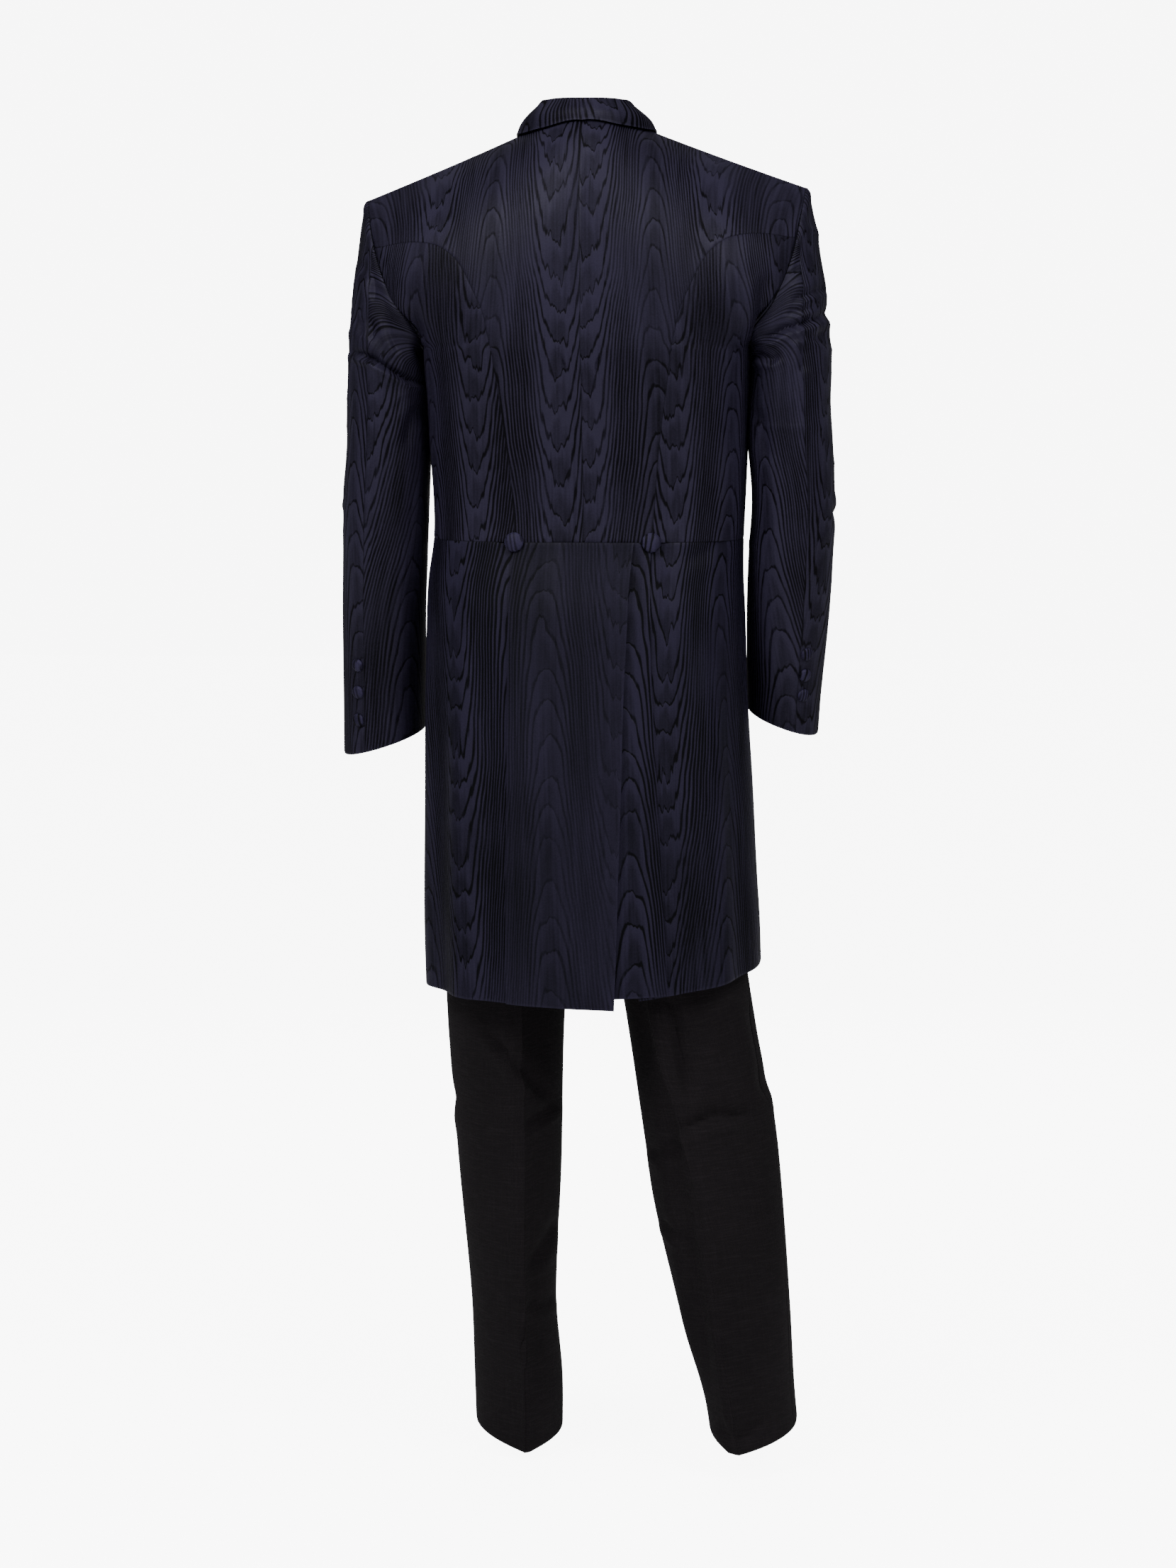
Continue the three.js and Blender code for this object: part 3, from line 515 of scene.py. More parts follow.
def sided_edges(words, sign):
    if sign > 0:
        return words
    swap = {"left": "right", "right": "left"}
    return " ".join(swap.get(word, word) for word in words.split())


SIDES = {"left": 1, "right": -1}


# Sleeves: level is the height along the arm up to the cap's foot; from there to the cap's top it runs to the
# armhole.

CAP_LEVEL = 1275
CAP_TOP = 1475
CUFF_LEVEL = 852
CAP_FULLNESS = 0.16
ARM = {
    "left": columns("x y width depth", [
        (840, 241, -66, 48, 50), (900, 240, -56, 48, 52), (999, 238, -34, 48, 57), (1060, 235, -20, 48.5, 62),
        (1129, 232, -10, 49, 66), (1200, 228, -5, 48, 69), (1275, 228.5, -2, 46, 72),
    ]),
    "right": columns("x y width depth", [
        (840, 221, -66, 41, 50), (900, 223, -56, 43, 52), (999, 228, -34, 47.5, 57),
        (1060, 231, -20, 48.5, 62),
        (1129, 234, -10, 48, 66), (1200, 230.5, -5, 48.5, 69), (1275, 230, -2, 47, 72),
    ]),
}
CUFF_LIFT = {"left": -4, "right": 22}
CUFF_SLANT_IN = 15
CUFF_SLANT_BACK = 8
CUFF_LEVELS = (850, 960)


def sleeve_surface(word):
    sign = SIDES[word]
    arm = ARM[word]

    def ring(mark, level):
        s, c = rounded_quarter(math.pi * (1 - 2 * mark / MARKS), 2.2)
        slant = -CUFF_SLANT_IN * c - CUFF_SLANT_BACK * s + CUFF_LIFT[word]
        slant = slant * (1 - ease(*CUFF_LEVELS, level))
        x = sign * (arm["x"](level) + arm["width"](level) * c)
        return np.stack([x, arm["y"](level) + arm["depth"](level) * s, level + slant], -1)

    def surface(u, level):
        u, level = np.broadcast_arrays(np.asarray(u, float), np.asarray(level, float))
        mark = np.mod(np.abs(u), MARKS)
        angle = math.pi * (1 - 2 * mark / MARKS)
        along = ring(mark, level)
        foot = ring(mark, np.full_like(level, CAP_LEVEL))
        in_front = mark > SHOULDER_MARK
        edge_level = mark_level(np.where(in_front, MARKS - mark, mark))
        head = torso(sign * np.where(in_front, 1.0000001, 1.0), edge_level)
        reach = np.linalg.norm(foot - head, axis=-1)
        leaving = unit(np.stack([
            np.full_like(angle, sign), 0.25 * np.sin(angle), -0.2 * np.maximum(0, np.cos(angle)),
        ], -1))
        head = head + np.stack([0 * angle, 0 * angle, 0.7 * np.maximum(0, -np.cos(angle)) ** 2], -1)
        t = ((level - CAP_LEVEL) / (CAP_TOP - CAP_LEVEL))[..., None]
        rising = np.stack([0 * reach, 0 * reach, 0.6 * reach], -1)
        cap = foot * (2 * t ** 3 - 3 * t ** 2 + 1) + head * (3 * t ** 2 - 2 * t ** 3)
        cap = cap + rising * (t ** 3 - 2 * t ** 2 + t)
        cap = cap - leaving * (CAP_FULLNESS * reach)[..., None] * (t ** 3 - t ** 2)
        return np.where((level <= CAP_LEVEL)[..., None], along, cap)

    return surface


# Trousers. Along the leg u is 0 at the inseam, 0.5 at the back crease, 1 at the side seam and 1.5 at the
# front crease; over the hips 0 is the centre back and 2 the centre front.

TROUSER_TOP = 1032
BAND_TOP = 1066
LEG = {
    "left": columns("x y width depth turn", [
        (12, 90, -122, 51, 96, 10), (86, 91, -118, 52, 97, 10), (184, 95, -102, 50, 98, 9),
        (347, 96, -66, 60, 100, 8), (510, 97, -27, 67, 103, 6), (590, 95, -12, 71, 100, 5),
        (680, 91, -8, 77, 101, 3), (780, 88, -4, 83, 104, 0), (860, 88, 0, 84, 104, 0),
    ]),
    "right": columns("x y width depth turn", [
        (22, 195, -38, 48, 96, 14), (86, 187, -34, 50, 97, 14), (184, 171, -26, 62, 98, 14),
        (314, 151, -16, 74, 102, 14), (412, 139, -12, 76, 106, 14), (510, 122, -10, 73, 107, 12),
        (640, 102, -8, 75, 106, 6), (780, 88, -4, 83, 104, 0), (860, 88, 0, 84, 104, 0),
    ]),
}
LEG_HEM = {
    "left": {"inseam": 26, "back": 12, "side": 29, "front": 54},
    "right": {"inseam": 54, "back": 34, "side": 46, "front": 72},
}
HALF_GAP = 0.15
CREASE_U = {
    "left": columns("u", [
        (20, 0.518), (120, 0.51), (184, 0.462), (250, 0.45), (314, 0.435), (412, 0.408), (510, 0.395),
        (640, 0.4), (780, 0.44), (860, 0.5),
    ]),
    "right": columns("u", [
        (20, 0.568), (120, 0.568), (250, 0.583), (330, 0.57), (412, 0.508), (510, 0.421), (570, 0.385),
        (640, 0.4), (780, 0.44), (860, 0.5),
    ]),
}
CREASE_HEIGHT = 10
CREASE_WIDTH = 26
HALF_GIRTH = 260
HIP_INSET = 17
WAIST_INSET = 12.5
INSET_LEVELS = (900, 1040)
FLY_INSET = 6.5
FLY_U = (1.5, 1.72)
FORK_LEVELS = (745, 862)


def hip_surface(u, level):
    depth = -mix(HIP_INSET, WAIST_INSET, ease(*INSET_LEVELS, level)) - FLY_INSET * ease(*FLY_U, np.abs(u))
    return torso(u, level) + outward(torso, u, level) * depth[..., None]


def trouser_surface(word):
    sign = SIDES[word]
    leg = LEG[word]

    def spread(share):
        return np.sign(share) * np.abs(share) ** 1.35

    def surface(u, level):
        u, level = np.broadcast_arrays(np.asarray(u, float), np.asarray(level, float))
        girth = np.abs(u)
        behind = np.clip(girth, 0, 1)
        girth = girth + 4 * (CREASE_U[word]["u"](level) - 0.5) * behind * (1 - behind)
        angle = math.pi * (1 - girth)
        c = np.cos(angle)
        x = leg["width"](level) * np.sign(c) * np.abs(c) ** 1.6
        y = leg["depth"](level) * np.sin(angle)
        turn = np.radians(leg["turn"](level))
        along_x = leg["x"](level) + x * np.cos(turn) - y * np.sin(turn)
        along_y = leg["y"](level) + y * np.cos(turn) + x * np.sin(turn)
        on_leg = np.stack([sign * along_x, along_y, level], -1)
        hip_u = np.where(girth <= 1, spread(girth), 2 - spread(2 - girth))
        hip = hip_surface(sign * hip_u, np.maximum(level, 700))
        hip[..., 0] = sign * np.maximum(HALF_GAP, sign * hip[..., 0])
        return mix(on_leg, hip, ease(*FORK_LEVELS, level)[..., None])

    return surface


# Cloth measures over the coat's body, from the centre back and from each centre front at the waist seam, in
# millimetres

MEASURED_U = (-2.1, 2.1)
MEASURED_LEVELS = (555, SHOULDER_LEVEL)
MEASURE_CELLS = (421, 200)
MEASURE_BACK = cloth_measure(torso, MEASURED_U, MEASURED_LEVELS, 0, WAIST_SEAM, MEASURE_CELLS)
MEASURE_FRONT = {
    sign: cloth_measure(torso, MEASURED_U, MEASURED_LEVELS, 2 * sign, WAIST_SEAM, MEASURE_CELLS)
    for sign in (1, -1)
}
ROPE_WIDTH = 7


def coat_body(word, silk):
    sign = SIDES[word]
    back = {
        "left": centre_back,
        "right": joined(side_back_seam, armhole_edge(HINDARM_MARK, SHOULDER_MARK), 13 / 16),
        "top": joined(back_neck, back_shoulder, 3 / 9),
    }
    offset = (-29, 12, 1) if sign > 0 else (-10, 30, -1)
    piece = panel(
        f"coat_back_{word}_silk", torso, sided(back, sign), MEASURE_BACK, offset, COAT_WALL, folds=BACK_FOLDS)
    finish_piece(piece, silk, [f"coat_back_{word}"])

    side_body = {
        "left": side_back_seam,
        "right": joined(upright(1, WAIST_SEAM, ARMPIT), armhole_edge(0, HINDARM_MARK), 8 / 13),
    }
    offset = (35, -40, 1) if sign > 0 else (55, 15, -1)
    piece = panel(
        f"coat_side_body_{word}_silk", torso, sided(side_body, sign), MEASURE_BACK, offset, COAT_WALL,
        folds=SIDE_FOLDS)
    finish_piece(
        piece, silk, [f"coat_side_body_{word}"])

    front = {
        "left": joined(upright(1, WAIST_SEAM, ARMPIT), armhole_edge(0, SHOULDER_MARK), 8 / 16),
        "right": joined(joined(front_closure, roll_line, 6 / 13), front_neck, 13 / 16),
        "top": front_shoulder,
    }
    lift = None if sign > 0 else (lambda u, level: underlap(u))
    piece = panel(
        f"coat_front_{word}_silk", torso, sided(front, sign), MEASURE_FRONT[sign], (20 * sign, 0, -sign),
        COAT_WALL, lift, folds=FRONT_FOLDS, sewn=sided_edges("left bottom top", sign))
    finish_piece(piece, silk, [f"coat_front_{word}"])


# The skirts' flutes: (u, width in u, depth)
FLUTES = [
    (-1.32, 0.16, 4), (-0.68, 0.1, -4), (-0.54, 0.09, 5), (-0.38, 0.08, -6),
    (0.36, 0.08, -6), (0.5, 0.09, 6), (0.66, 0.09, -6), (0.82, 0.1, 3), (1.4, 0.16, -4),
]
PLEAT_U = 0.275
PLEAT_HEM_U = 0.31
TUCK_U = 0.2
TUCK_EDGE_U = (0.3, 0.37)
VENT_U = -0.205
VENT_HEM_U = -0.105
VENT_PROUD = 3
VENT_PROUD_U = 0.05
VENT_FLAT = 60
FLAP_U = (0.06, 0.16)
UNDER_EDGE_U = 0.03
UNDER_HEM_RISE = 11
TUCKED_HEM_RISE = 15
SIDE_HEM_RISE = {"left": 3, "right": 10}
SIDE_HEM_ARCH = {"left": 10, "right": 26}
pleat_line = track((PLEAT_HEM_U, COAT_HEM + 4), (PLEAT_U, WAIST_SEAM))


def flutes(u, level):
    fade = ease(WAIST_SEAM - 20, 820, level)
    return fade * sum(depth * np.exp(-(((u - centre) / width) ** 2)) for centre, width, depth in FLUTES)


# The side and under skirts take the darker copy of the silk, which is painted shade.
def coat_skirts(painted_shade_skirt_silk, flap_silk):
    flap = {"left": track((VENT_HEM_U, COAT_HEM), (VENT_U, WAIST_SEAM)), "right": pleat_line}

    def lift(u, level):
        edge = mix(VENT_HEM_U, VENT_U, (level - COAT_HEM) / (WAIST_SEAM - COAT_HEM))
        proud = VENT_PROUD * np.exp(-np.abs(u - edge) / VENT_PROUD_U)
        proud = proud * (1 - ease(WAIST_SEAM - VENT_FLAT, WAIST_SEAM, level))
        return flutes(u, level) + (LAYER + 0.3) * (1 - ease(*FLAP_U, u)) + proud

    tucked = track((PLEAT_HEM_U, COAT_HEM + TUCKED_HEM_RISE), (PLEAT_U, WAIST_SEAM))
    under = {
        "left": mirrored(tucked),
        "right": upright(UNDER_EDGE_U, COAT_HEM + UNDER_HEM_RISE, WAIST_SEAM),
    }
    backs = (
        ("left", flap, (40, 20, 1), lift, flap_silk),
        ("right", under, (22, -10, -1), flutes, painted_shade_skirt_silk),
    )
    for word, cut, offset, raised, material in backs:
        piece = panel(
            f"coat_skirt_back_{word}_silk", torso, cut, MEASURE_BACK, offset, COAT_WALL, raised, SKIRT_FOLDS,
            sewn="top")
        finish_piece(
            piece, material, [f"coat_skirt_back_{word}"])

    for word, sign in SIDES.items():
        hem = COAT_HEM + SIDE_HEM_RISE[word]
        arch = hem + SIDE_HEM_ARCH[word]
        cut = {
            "left": track((TUCK_U, hem), (TUCK_U, WAIST_SEAM)),
            "right": upright(FRONT_EDGE_U, hem, WAIST_SEAM),
            "bottom": track((TUCK_U, hem), (1, arch), (1.5, hem + 2), (FRONT_EDGE_U, hem)),
        }

        def lift(u, level, sign=sign):
            tuck = -LAYER * (1 - ease(*TUCK_EDGE_U, np.abs(u)))
            return flutes(u, level) + tuck + (underlap(u) if sign < 0 else 0)

        offset = (10, 0, 1) if sign > 0 else (60, 25, -1)
        piece = panel(
            f"coat_skirt_side_{word}_silk", torso, sided(cut, sign), MEASURE_BACK, offset, COAT_WALL, lift,
            SKIRT_FOLDS, sewn="top")
        finish_piece(
            piece, painted_shade_skirt_silk, [f"coat_skirt_side_{word}"])


SLEEVE_U = (4.8, 21.2)
ROPE_HEIGHT = 1.8
ROPE_MARKS = 2.4
ROPE_FROM_SEAM = 8
UPPER_LEVELS = (1150, 1270)
UPPER_FROM_SEAM = (3, 22)
ELBOW_LEVEL = 1120
ELBOW_REACH = 60
UPPER_CRUMPLE = 2.2
CRUMPLE_SIZE = (60, 60, 44)
CRUMPLE_SEED = 11
SLEEVE_STEP = 2.9


def sleeves(word, silk):
    sign = SIDES[word]
    surface = sleeve_surface(word)
    measured_u = [sign * u for u in SLEEVE_U]
    measure = cloth_measure(surface, measured_u, (845, CAP_TOP), 9.5 * sign, CAP_LEVEL, (240, 120))

    def seam(mark):
        return joined(upright(mark, CUFF_LEVEL, CAP_LEVEL), upright(mark, CAP_LEVEL, CAP_TOP), 14 / 20)

    def rope_and_crumples(u, level, distance):
        head = np.exp(-((np.mod(np.abs(u), MARKS) - SHOULDER_MARK) / ROPE_MARKS) ** 2)
        rope = ROPE_HEIGHT * head * np.exp(-(((distance["top"] - ROPE_FROM_SEAM) / ROPE_WIDTH) ** 2))
        points = surface(u, level)
        upper = ease(*UPPER_LEVELS, points[..., 2]) * ease(*UPPER_FROM_SEAM, distance["top"])
        elbow = np.exp(-(((points[..., 2] - ELBOW_LEVEL) / ELBOW_REACH) ** 2))
        return rope + (UPPER_CRUMPLE * upper + elbow) * crumples(points, CRUMPLE_SIZE, CRUMPLE_SEED + sign)

    parts = (("top", HINDARM_MARK, FOREARM_MARK, 0), ("under", FOREARM_MARK, MARKS + HINDARM_MARK, 45))
    for part, start, end, shift in parts:
        cut = {"left": seam(start), "right": seam(end)}
        offset = (12 + shift, -20 - shift, 1) if sign > 0 else (80 + shift, 10 + shift, -1)
        piece = panel(
            f"sleeve_{part}_{word}_silk", surface, sided(cut, sign), measure, offset, COAT_WALL,
            folds=SLEEVE_FOLDS[word], step=SLEEVE_STEP, sewn="left right top", extra=rope_and_crumples)
        finish_piece(
            piece, silk, [f"sleeve_{part}_{word}"])


COLLAR = columns("fold lean spread", [
    (0, 1582, 2, 0), (0.15, 1582, 2, 0), (0.3, 1581, 2, 0), (0.45, 1579, 0, 0),
    (0.6, 1570, 0, 0), (0.8, 1528, 2, 0.4), (1, 1483, 0, 1),
])
COLLAR_STAND_LEAST = 5
COLLAR_OVER_COAT = 0.4
COLLAR_SEAM_IN = 1
COLLAR_SEAM_UP = 1.1
COLLAR_BULGE = 1.5
COLLAR_BULGE_SPREAD = 2.5
COLLAR_ROLL = 3.5
NECK_CENTRE = (2, -12, 0)
FOLD = 3.5
COLLAR_SHARE = 0.6
collar_edge = joined(
    track((0, 1470), (0.07, 1477), (0.14, 1487), (0.2, 1504), (0.25, 1525), (0.285, SHOULDER_LEVEL)),
    track((2 - 0.285, SHOULDER_LEVEL), (1.69, 1500), (1.63, 1452)), COLLAR_SHARE,
)
collar_seam = joined(back_neck, turned(front_neck), COLLAR_SHARE)
COLLAR_COLUMNS = (0, 0.42, 0.5, 0.58, 0.79, 1)


def collar_sections(side, share):
    """Six points across the folded collar at each share of its half length, from neck seam to outer edge."""
    seam_u, seam_level = collar_seam(share)
    edge_u, edge_level = collar_edge(share)
    foot = torso(side * seam_u, seam_level)
    over = torso(side * edge_u, edge_level)
    over_normal = outward(torso, side * edge_u, edge_level)
    outer = unit((foot - NECK_CENTRE) * (1, 1, 0))
    stand = np.maximum(COLLAR_STAND_LEAST, COLLAR["fold"](share) - FOLD - foot[:, 2])
    lean = COLLAR["lean"](share)

    def at(away, height):
        away, height = [np.broadcast_to(value, lean.shape)[:, None] for value in (away, height)]
        return foot + outer * away + np.array((0, 0, 1)) * height

    hem = over + over_normal * (LAYER + COLLAR_OVER_COAT)
    fall_top = at(FOLD - lean, stand)
    bulge = COLLAR_BULGE + COLLAR_BULGE_SPREAD * COLLAR["spread"](share)
    middle = mix(fall_top, hem, 0.5) + over_normal * bulge[:, None] + outer * COLLAR_ROLL
    seam = at(-COLLAR_SEAM_IN, COLLAR_SEAM_UP)
    return np.stack([seam, at(-FOLD - lean, stand), at(-lean, stand + FOLD), fall_top, middle, hem], 1)


def grid_normals(points):
    return unit(np.cross(np.gradient(points, axis=0), np.gradient(points, axis=1)))


def collar(silk):
    shares = np.linspace(0, 1, 70)
    halves = [collar_sections(-1, shares[:0:-1]), collar_sections(1, shares)]
    sections = np.concatenate(halves)
    across = np.concatenate([[0, 0.01], np.linspace(0.03, 0.97, 34), [0.99, 1]])
    rows = sections.shape[0]
    outer = np.empty((rows, len(across), 3))
    for i in range(rows):
        for k in range(3):
            outer[i, :, k] = smooth_column(COLLAR_COLUMNS, sections[i, :, k])(across)
    inner = outer - grid_normals(outer) * COAT_WALL
    distance = edge_distances(outer)
    girth = distance["bottom"][:, :1] - distance["bottom"][rows // 2, 0]
    cloth = np.stack([np.broadcast_to(girth, outer.shape[:2]) + 20, -distance["left"]], -1)
    trim = np.stack([np.minimum(distance["left"], FAR), np.minimum(distance["right"], FAR)], -1)
    piece = shell("collar_silk", outer, inner, cloth, trim)
    finish_piece(
        piece, silk, ["collar"])


def lapels(word, silk):
    sign = SIDES[word]
    foot = (2.03, BREAK_LEVEL + 2) if sign > 0 else (1.95, 1306)
    roll_foot = (2.05, BREAK_LEVEL + 2) if sign > 0 else (1.97, 1306)
    cut = {
        "left": track(foot, (1.87, 1324), (1.75, 1366), (1.62, 1415)),
        "right": track(
            roll_foot, (1.93, 1326), (1.89, 1345), (1.845, 1375), (1.805, 1412), (1.78, 1442)),
    }
    lift = lambda u, level: LAYER + 0.2 + (underlap(u) if sign < 0 else 0 * u)
    piece = panel(
        f"lapel_{word}_silk", torso, sided(cut, sign), MEASURE_FRONT[sign], (50 * sign, 20, -sign), COAT_WALL,
        lift, sewn="top", step=3.5)
    finish_piece(
        piece, silk, [f"lapel_{word}"])


WAISTCOAT_INSET = 6.5
WAISTCOAT_HIP_INSET = 1.5
WAISTCOAT_FRONT_INSET = 4
WAISTCOAT_SHOULDER_INSET = 4
WAISTCOAT_SHOULDER_LEVELS = (1440, 1540)
WAISTCOAT_FRONT_U = (1.66, 1.8)


def waistcoat_lift(u, level):
    """How far the waistcoat lies under the coat's surface."""
    shoulder = ease(*WAISTCOAT_SHOULDER_LEVELS, level)
    below = 1 - ease(WAIST_SEAM - 40, WAIST_SEAM + 50, level)
    centre = ease(*WAISTCOAT_FRONT_U, np.abs(u))
    inset = WAISTCOAT_INSET + WAISTCOAT_HIP_INSET * below + WAISTCOAT_FRONT_INSET * centre
    return -mix(inset, WAISTCOAT_SHOULDER_INSET, shoulder)


def waistcoat(word, silk):
    sign = SIDES[word]
    lift = lambda u, level: waistcoat_lift(u, level) + (underlap(u) if sign < 0 else 0)
    hem = 1012
    underarm = 1262
    front_top = SHOULDER_LEVEL - 5
    back_armhole = track(
        (1, underarm), (0.86, 1290), (0.74, 1340), (0.66, 1430), (0.62, SHOULDER_LEVEL))
    front_armhole = track((1, underarm), (1.13, 1288), (1.27, 1335), (1.35, 1430), (1.38, front_top))
    back = {
        "left": upright(0, hem, 1455),
        "right": joined(upright(1, hem, underarm), back_armhole, 5 / 12),
        "top": joined(
            track((0, 1455), (0.2, 1476), (0.3, SHOULDER_LEVEL)),
            track((0.3, SHOULDER_LEVEL), (0.62, SHOULDER_LEVEL)), 3 / 6),
    }
    piece = panel(
        f"waistcoat_back_{word}_silk", torso, sided(back, sign), MEASURE_BACK, (15, 0, sign), WAISTCOAT_WALL,
        lift, step=6, sewn=sided_edges("left top", sign))
    finish_piece(
        piece, silk, [f"waistcoat_back_{word}"])
    front = {
        "left": joined(upright(1, hem, underarm), front_armhole, 5 / 12),
        "right": joined(
            track((2.04, hem - 8), (2.05, 1285)),
            track((2.05, 1285), (1.95, 1340), (1.83, 1410), (1.74, 1480), (1.69, front_top)), 5 / 12),
        "bottom": track((1, hem), (1.6, hem - 14), (1.9, hem - 30), (2.04, hem - 8)),
    }
    piece = panel(
        f"waistcoat_front_{word}_silk", torso, sided(front, sign), MEASURE_FRONT[sign], (15, 0, sign),
        WAISTCOAT_WALL, lift, step=6, sewn="top")
    finish_piece(
        piece, silk, [f"waistcoat_front_{word}"])


def pressed_crease(u, level, distance):
    """The sharp edge pressed down the middle of each half leg."""
    away = np.abs(np.mod(np.abs(u), 1) - 0.5) * HALF_GIRTH
    return CREASE_HEIGHT * np.exp(-away / CREASE_WIDTH) * (1 - ease(700, 860, level))


def trousers(word, wool):
    sign = SIDES[word]
    surface = trouser_surface(word)
    measure = cloth_measure(surface, (0, 2), (10, TROUSER_TOP + 1), 0.5, 0, (200, 160))
    flat_measure = lambda u, level: measure(np.abs(u), level)
    hem = LEG_HEM[word]
    parts = (("back", 0, ("inseam", "back", "side")), ("front", 1, ("side", "front", "inseam")))
    for part, start, ends in parts:
        cut = {
            "left": upright(start, hem[ends[0]], TROUSER_TOP),
            "right": upright(start + 1, hem[ends[2]], TROUSER_TOP),
            "bottom": track(*[(start + 0.5 * k, hem[end]) for k, end in enumerate(ends)]),
        }
        piece = panel(
            f"trouser_{part}_{word}_wool", surface, sided(cut, sign), flat_measure, (0, 300 * start, sign),
            TROUSER_WALL, folds=TROUSER_FOLDS[word], step=5.2, sewn="left right top", extra=pressed_crease,
            creased=True)
        finish_piece(
            piece, wool, [f"trouser_{part}_{word}"])
    cut = {"left": upright(0, TROUSER_TOP, BAND_TOP), "right": upright(2, TROUSER_TOP, BAND_TOP)}
    piece = panel(
        f"waistband_{word}_wool", hip_surface, sided(cut, sign), MEASURE_BACK, (0, 0, sign), COAT_WALL,
        step=6, sewn="bottom")
    finish_piece(piece, wool, [f"waistband_{word}"])


# Covered buttons: a dome of the coat's silk drawn over a form and gathered at its back. A button's sizes are
# its radius, height and distance from the cloth.

GATHERS = 22
GATHER_DEPTH = 0.012
GATHER_REACH = (0.75, 1)
DOME_RIM = 0.2
BUTTON_BACK = 0.96


def covered_button(node, surface, u, level, radius, height, lift, cover):
    u = np.array(float(u))
    level = np.array(float(level))
    facing = outward(surface, u, level)
    centre = surface(u, level) + facing * lift
    up = unit(np.array((0, 0, 1.0)) - facing * facing[2])
    right = np.cross(up, facing)
    lines = np.sin(np.linspace(-QUARTER, QUARTER, 25))
    x, y = np.meshgrid(lines, lines)
    disc_x = x * np.sqrt(1 - y * y / 2)
    disc_y = y * np.sqrt(1 - x * x / 2)
    reach = np.minimum(np.hypot(disc_x, disc_y), 1)
    angle = np.arctan2(disc_y, disc_x)
    gather = 1 + GATHER_DEPTH * np.cos(GATHERS * angle) * ease(*GATHER_REACH, reach)
    dome = height * mix(DOME_RIM, 1, (1 - reach ** 3) ** 0.5)

    def placed(px, py, pz):
        return centre + px[..., None] * right * radius + py[..., None] * up * radius + pz[..., None] * facing

    outer = placed(disc_x * gather, disc_y * gather, dome)
    inner = placed(disc_x * BUTTON_BACK, disc_y * BUTTON_BACK, 0 * dome)
    shift = (sum(map(ord, node)) * 37) % 160
    cloth = np.stack([disc_x * radius + shift, disc_y * radius + shift * 2], -1)
    trim = np.stack([np.full_like(reach, FAR), (1 - reach) * radius + 1.5], -1)
    piece = shell(f"{node}_covered", outer[::-1], inner[::-1], cloth[::-1], trim[::-1], 60)
    finish_piece(piece, cover, [node])


WAIST_BUTTON = (11, 5, 0.9)
COAT_BUTTON = (11, 5, 0.6)
CUFF_BUTTON = (7.5, 4, -0.1)
WAISTCOAT_BUTTON = (6.5, 1.6)
CUFF_BUTTON_LEVELS = (887, 913, 939)
CUFF_BUTTON_RISE = {"left": 0, "right": 14}
CUFF_BUTTON_MARK = HINDARM_MARK + 0.42
COAT_BUTTON_LEVELS = (1089, 1144, 1199, 1254)
WAISTCOAT_BUTTONS = ((1040, 0.6), (1095, 0.8), (1150, 0.7), (1205, 0.3), (1260, 0))


def buttons(cover):
    for word, sign in SIDES.items():
        skirt = lambda u, level: torso(u, level) + outward(torso, u, level) * flutes(u, level)[..., None]
        covered_button(f"waist_button_{word}", skirt, sign * PLEAT_U, WAIST_SEAM, *WAIST_BUTTON, cover)
        arm = sleeve_surface(word)
        for k, level in enumerate(CUFF_BUTTON_LEVELS):
            covered_button(
                f"cuff_button_{word}_{k + 1}", arm, sign * CUFF_BUTTON_MARK, level + CUFF_BUTTON_RISE[word],
                *CUFF_BUTTON, cover)
    for k, level in enumerate(COAT_BUTTON_LEVELS):
        covered_button(f"coat_button_{k + 1}", torso, 2, level, *COAT_BUTTON, cover)
    vest = lambda u, level: torso(u, level) + outward(torso, u, level) * waistcoat_lift(u, level)[..., None]
    for k, (level, lift) in enumerate(WAISTCOAT_BUTTONS):
        covered_button(f"waistcoat_button_{k + 1}", vest, 2, level, *WAISTCOAT_BUTTON, lift, cover)


# Folds in the cloth, in millimetres: (side seen from, width, depth, line). A line's points are across and
# height.

BACK_FOLDS = [
    ("back", 9, 5.5, [(-207, 1387), (-204, 1365), (-200, 1336), (-198, 1317)]),
    ("back", 12, 3.5, [(206, 1380), (198, 1350), (192, 1322)]),
]
SIDE_FOLDS = [
    ("back", 9, 5.5, [(-207, 1387), (-204, 1365), (-200, 1336), (-198, 1305)]),
    ("back", 12, 3.5, [(206, 1380), (198, 1350), (186, 1305)]),
    ("back", 13, 3, [(166, 1295), (171, 1250), (172, 1190)]),
    ("back", 14, 2.5, [(-168, 1300), (-172, 1240), (-166, 1170)]),
]
FRONT_FOLDS = [
    ("front", 12, 3.5, [(196, 1375), (186, 1340), (172, 1300)]),
    ("front", 12, 3.5, [(-194, 1370), (-184, 1336), (-170, 1302)]),
]
SKIRT_FOLDS = [
    ("back", 10, 2.2, [(-111, 1062), (-140, 1074), (-170, 1094)]),
]
